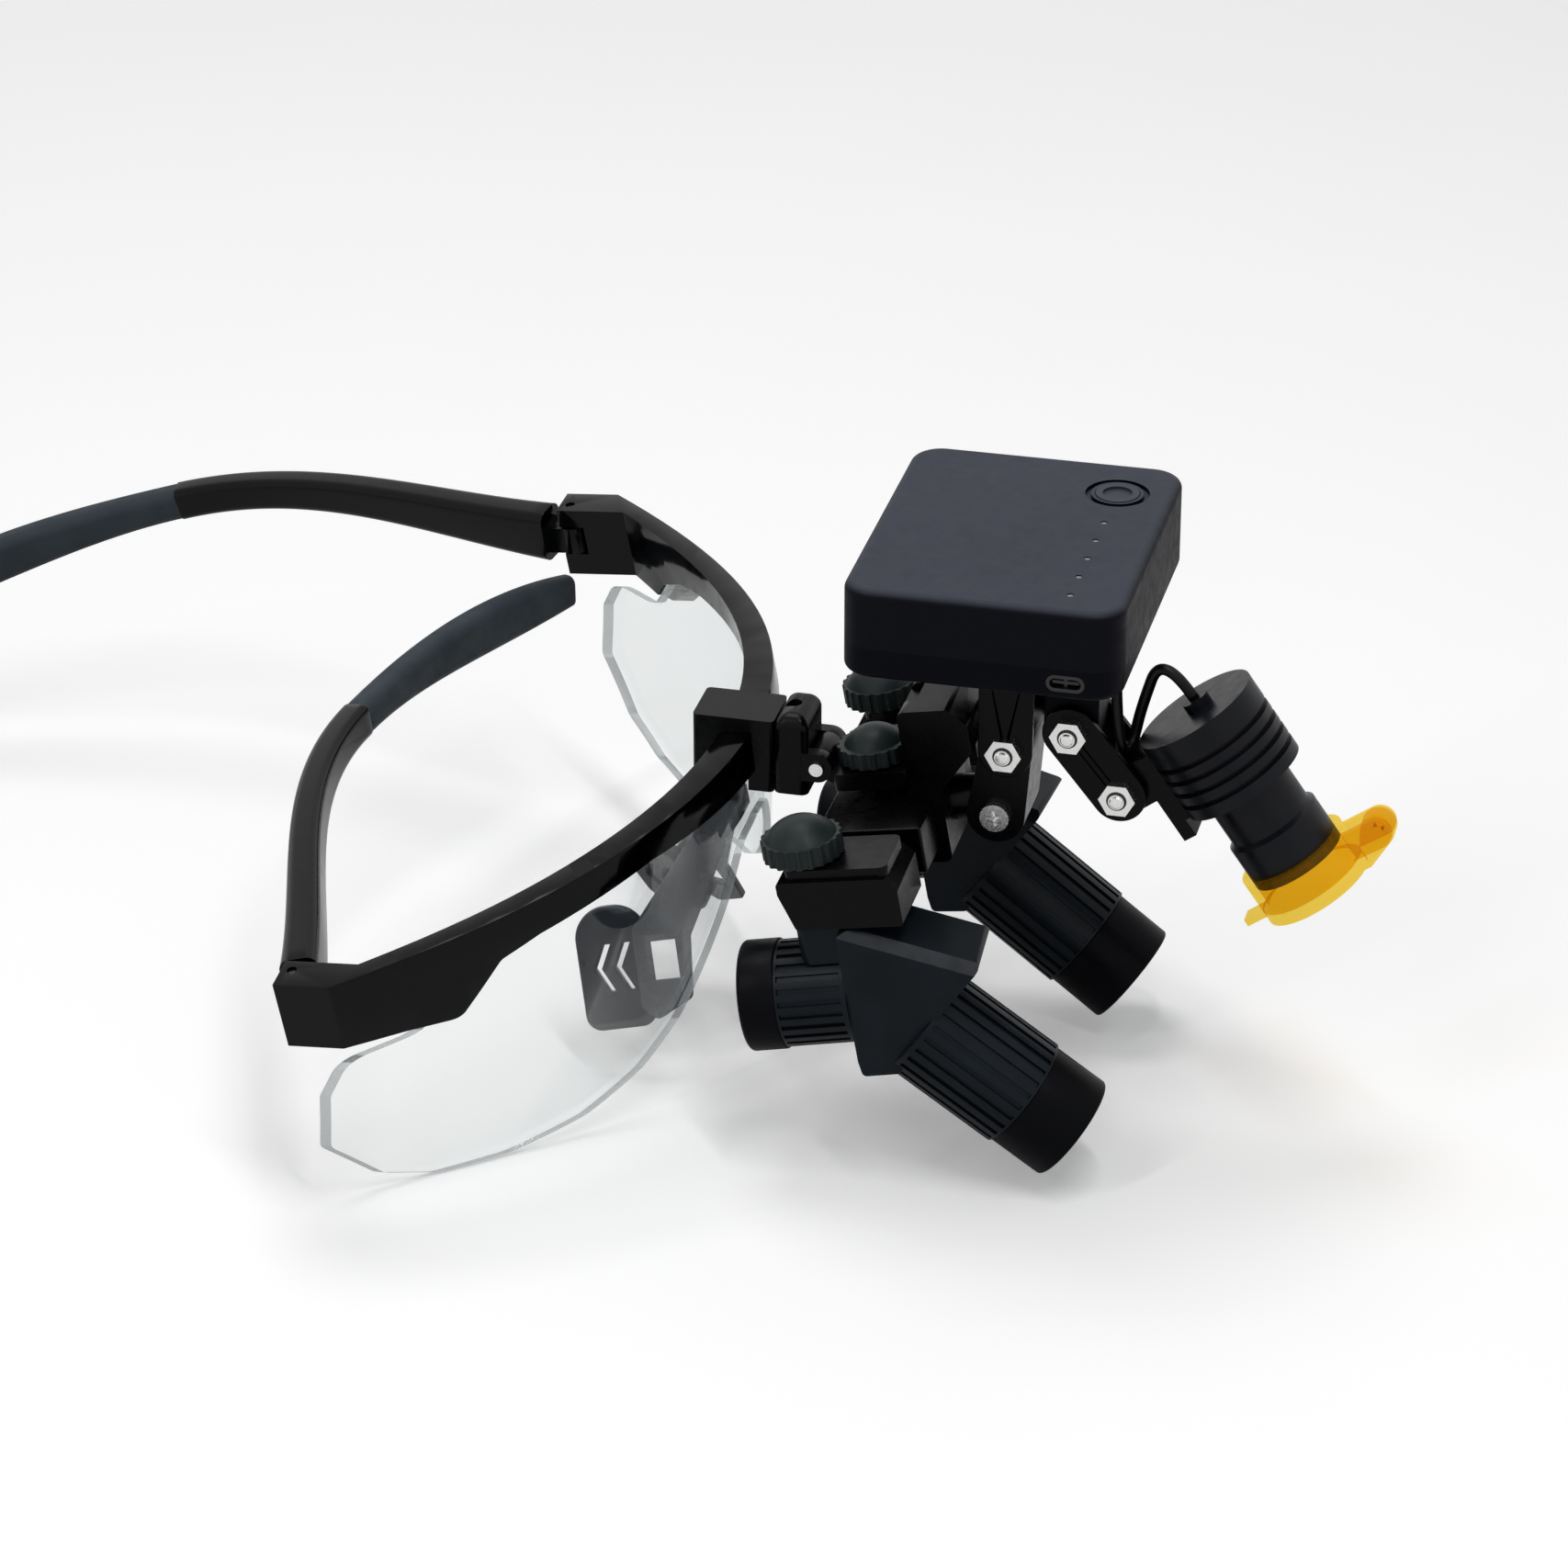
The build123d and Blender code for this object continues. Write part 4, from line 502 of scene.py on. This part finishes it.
# The route is shifted so the boot's end meets the lower end of the CAD's upper lead.
boot_low, boot_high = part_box("lead_upper")
boot_end = Vector(((boot_low.x + boot_high.x) / 2, (boot_low.y + boot_high.y) / 2, boot_low.z))
ROUTE_SHIFT = boot_end - BOOT_END * MM


def nurbs_line(name, points):
    """Points along the smooth line that the route's control points make."""
    curve = bpy.data.curves.new(name, "CURVE")
    curve.dimensions = "3D"
    spline = curve.splines.new("NURBS")
    spline.points.add(len(points) - 1)
    for point, place in zip(spline.points, points):
        point.co = (*place, 1)
    spline.order_u = 3
    spline.use_endpoint_u = True
    spline.resolution_u = 24
    source = bpy.data.objects.new(name, curve)
    bpy.context.scene.collection.objects.link(source)
    bpy.context.view_layer.update()
    line = bpy.data.meshes.new_from_object(source.evaluated_get(bpy.context.evaluated_depsgraph_get()))
    bpy.data.objects.remove(source)
    return [vertex.co.copy() for vertex in line.vertices]


def tube(name, line, radii, material, sides=16):
    """A round tube along a line, with its own radius at each point and closed ends."""
    verts, faces = [], []
    aside = None
    for i, (place, radius) in enumerate(zip(line, radii)):
        ahead = (line[min(i + 1, len(line) - 1)] - line[max(i - 1, 0)]).normalized()
        if aside is None:
            aside = ahead.orthogonal().normalized()
        aside = (aside - ahead * aside.dot(ahead)).normalized()
        other = ahead.cross(aside)
        for k in range(sides):
            turn = 2 * pi * k / sides
            verts.append(place + (aside * cos(turn) + other * sin(turn)) * radius)
        if i:
            row = (i - 1) * sides
            for k in range(sides):
                faces.append((row + k, row + (k + 1) % sides, row + sides + (k + 1) % sides, row + sides + k))
    faces.append(tuple(reversed(range(sides))))
    faces.append(tuple(range(len(verts) - sides, len(verts))))
    return mesh_piece(name, verts, faces, [material], None)


BOOT_RINGS = 60
BOOT_GROOVES = 5
BOOT_GROOVE_DEEP = 0.14
boot_line, boot_radii = [], []
for i in range(BOOT_RINGS + 1):
    share = i / BOOT_RINGS
    boot_line.append(BOOT_TOP.lerp(BOOT_END, share) * MM + ROUTE_SHIFT)
    taper = BOOT_R + (LEAD_R + 0.1 - BOOT_R) * share
    groove = BOOT_GROOVE_DEEP * max(0, sin(2 * pi * BOOT_GROOVES * share)) if 0.1 < share < 0.95 else 0
    boot_radii.append((taper - groove) * MM)
boot = tube("lead_boot", boot_line, boot_radii, looks["lead_black"], 24)
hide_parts("lead_upper")
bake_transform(boot)

lead_line = nurbs_line("lead_route", [Vector(point) * MM + ROUTE_SHIFT for point in LEAD_ROUTE])
lead = tube("lead", lead_line, [LEAD_R * MM] * len(lead_line), looks["lead_black"])
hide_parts("lead_lower")
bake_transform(lead)

# Nuts: a black ring of painted shadow round each bolt's end, where the groove would be in shade, and the
# bolt's end inside it

BOLT_PROUD = 0.4
# A thin black disc under the bolt's end: its rim shows as a ring of painted shadow.
NUT_SHADOW_RING = [(1.6, -0.1), (1.6, 0.05)]
BOLT_END = [(1.05, 0), (1.05, 0.5), (0.84, 0.7), (0.315, 0.75)]


def turned(name, profile, place, outward, material, body, sides=32):
    """A piece turned about a line along x at place; its profile is radius and height outward, in mm."""
    verts, faces = [], []
    for radius, height in profile:
        for k in range(sides):
            turn = 2 * pi * k / sides
            verts.append(place + Vector((outward * height, radius * cos(turn), radius * sin(turn))) * MM)
    for row in range(len(profile) - 1):
        for k in range(sides):
            a, b = row * sides + k, row * sides + (k + 1) % sides
            quad = (a, b, b + sides, a + sides)
            faces.append(quad if outward > 0 else tuple(reversed(quad)))
    last = tuple(range((len(profile) - 1) * sides, len(profile) * sides))
    first = tuple(reversed(range(sides)))
    faces += [last, first] if outward > 0 else [tuple(reversed(last)), tuple(reversed(first))]
    return mesh_piece(name, verts, faces, [material], body, smooth=False)


BOLTS = {"box_tilt": ("bracket_bolts", "height_slide"), "link_swing": ("link_bolts", "lamp_link"),
         "lamp_aim": ("link_bolts", "lamp_link")}
for joint, (bolts, body) in BOLTS.items():
    bolts_low, bolts_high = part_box(bolts)
    for outward, end in ((-1, bolts_low.x), (1, bolts_high.x)):
        hand = "right" if outward < 0 else "left"
        seat = Vector((end - outward * BOLT_PROUD * MM, *joints[joint]["pos_m"][1:]))
        # The black ring is painted shadow standing for the shade in the groove round the bolt.
        turned("nut_shadow_ring_%s_%s" % (joint, hand), NUT_SHADOW_RING, seat, outward, looks["port_black"], body)
        turned("bolt_end_%s_%s" % (joint, hand), BOLT_END, seat, outward, looks["bright_fixings"], body)

# Floor and light

def area_light(name, place, aim, size, watts):
    """A soft white lamp at place, facing aim, in metres."""
    data = bpy.data.lights.new(name, "AREA")
    data.shape = "RECTANGLE"
    data.size, data.size_y = size
    data.energy = watts
    lamp = bpy.data.objects.new(name, data)
    bpy.context.scene.collection.objects.link(lamp)
    lamp.location = place
    lamp.rotation_euler = (Vector(aim) - Vector(place)).to_track_quat("-Z", "Y").to_euler()


def pale_ground():
    """A plain pale floor that keeps its shadows, a little brighter to the camera."""
    material, tree, shader = new_material("pale_ground")
    seen_tone = blend_colour(tree, noise(tree, 60.0, 2.0).outputs["Fac"], *FLOOR_TONES)
    tone = blend_colour(tree, seen_directly(tree), FLOOR_BOUNCE, (1, 1, 1))
    tree.links.new(seen_tone, tone.node.inputs["B"])
    tree.links.new(tone, shader.inputs["Base Color"])
    shader.inputs["Roughness"].default_value = 0.6
    path = tree.nodes.new("ShaderNodeLightPath")
    shader.inputs["Emission Color"].default_value = (1, 1, 1, 1)
    tree.links.new(between(tree, path.outputs["Is Camera Ray"], 0.0, FLOOR_LIFT, 0.0, 1.0),
                   shader.inputs["Emission Strength"])
    return material


def seen_directly(tree):
    """One for the camera's rays and for those in a mirror or through glass, else nothing."""
    path = tree.nodes.new("ShaderNodeLightPath")
    total = path.outputs["Is Camera Ray"]
    for kind in ("Is Glossy Ray", "Is Transmission Ray"):
        most = tree.nodes.new("ShaderNodeMath")
        most.operation = "MAXIMUM"
        tree.links.new(total, most.inputs[0])
        tree.links.new(path.outputs[kind], most.inputs[1])
        total = most.outputs["Value"]
    return total


FLOOR_SIZE = 6
FLOOR_GAP = 0.2
FLOOR_TONES = ((0.96, 0.965, 0.965), (0.99, 0.99, 0.99))
FLOOR_LIFT = 0.22
FLOOR_BOUNCE = (0.42, 0.42, 0.42)
WORLD_LEVEL = 0.27
lens_low = min(corner.z for corner in (bpy.data.objects["lens_sheet"].matrix_world @ vertex.co
                                       for vertex in bpy.data.objects["lens_sheet"].data.vertices))
bpy.ops.mesh.primitive_plane_add(size=FLOOR_SIZE, location=(0, 0, min(0, lens_low) - FLOOR_GAP * MM))
floor = bpy.context.object
floor.name = "floor"
floor.data.materials.append(pale_ground())

world = bpy.data.worlds.new("studio")
bpy.context.scene.world = world
world.use_nodes = True
background = world.node_tree.nodes["Background"]
background.inputs["Color"].default_value = (1, 1, 1, 1)
brightness = between(world.node_tree, seen_directly(world.node_tree), WORLD_LEVEL, 1.0, 0.0, 1.0)
world.node_tree.links.new(brightness, background.inputs["Strength"])

area_light("key", (-0.30, -0.25, 0.85), (0, -0.02, 0.05), (0.05, 0.5), 2.2)
area_light("top", (0.20, 0.15, 0.95), (0, 0, 0.04), (0.4, 0.4), 2.3)
area_light("side", (-0.55, 0.30, 0.70), (0, 0.02, 0.05), (0.03, 0.45), 1.0)

# Camera

box_low, box_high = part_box("case_top")
box_top = Vector(((box_low.x + box_high.x) / 2, (box_low.y + box_high.y) / 2, box_high.z))
camera_data = bpy.data.cameras.new("camera")
camera = bpy.data.objects.new("camera", camera_data)
bpy.context.scene.collection.objects.link(camera)
azimuth, elevation = radians(CAMERA_AZIMUTH), radians(CAMERA_ELEVATION)
back = Vector((sin(azimuth) * cos(elevation), -cos(azimuth) * cos(elevation), sin(elevation)))
right = Vector((cos(azimuth), sin(azimuth), 0))
up = back.cross(right)
turn = Matrix((right, up, back)).transposed().to_4x4()
camera.matrix_world = Matrix.Translation(box_top + Vector(CAMERA_FROM_BOX) * MM) @ turn
camera_data.sensor_width = SENSOR
camera_data.lens = PHOTO_FOCAL / PHOTO_SIZE * SENSOR
camera_data.clip_start = 0.05
camera_data.clip_end = 20
bpy.context.scene.camera = camera

bpy.context.scene.view_settings.view_transform = "Standard"
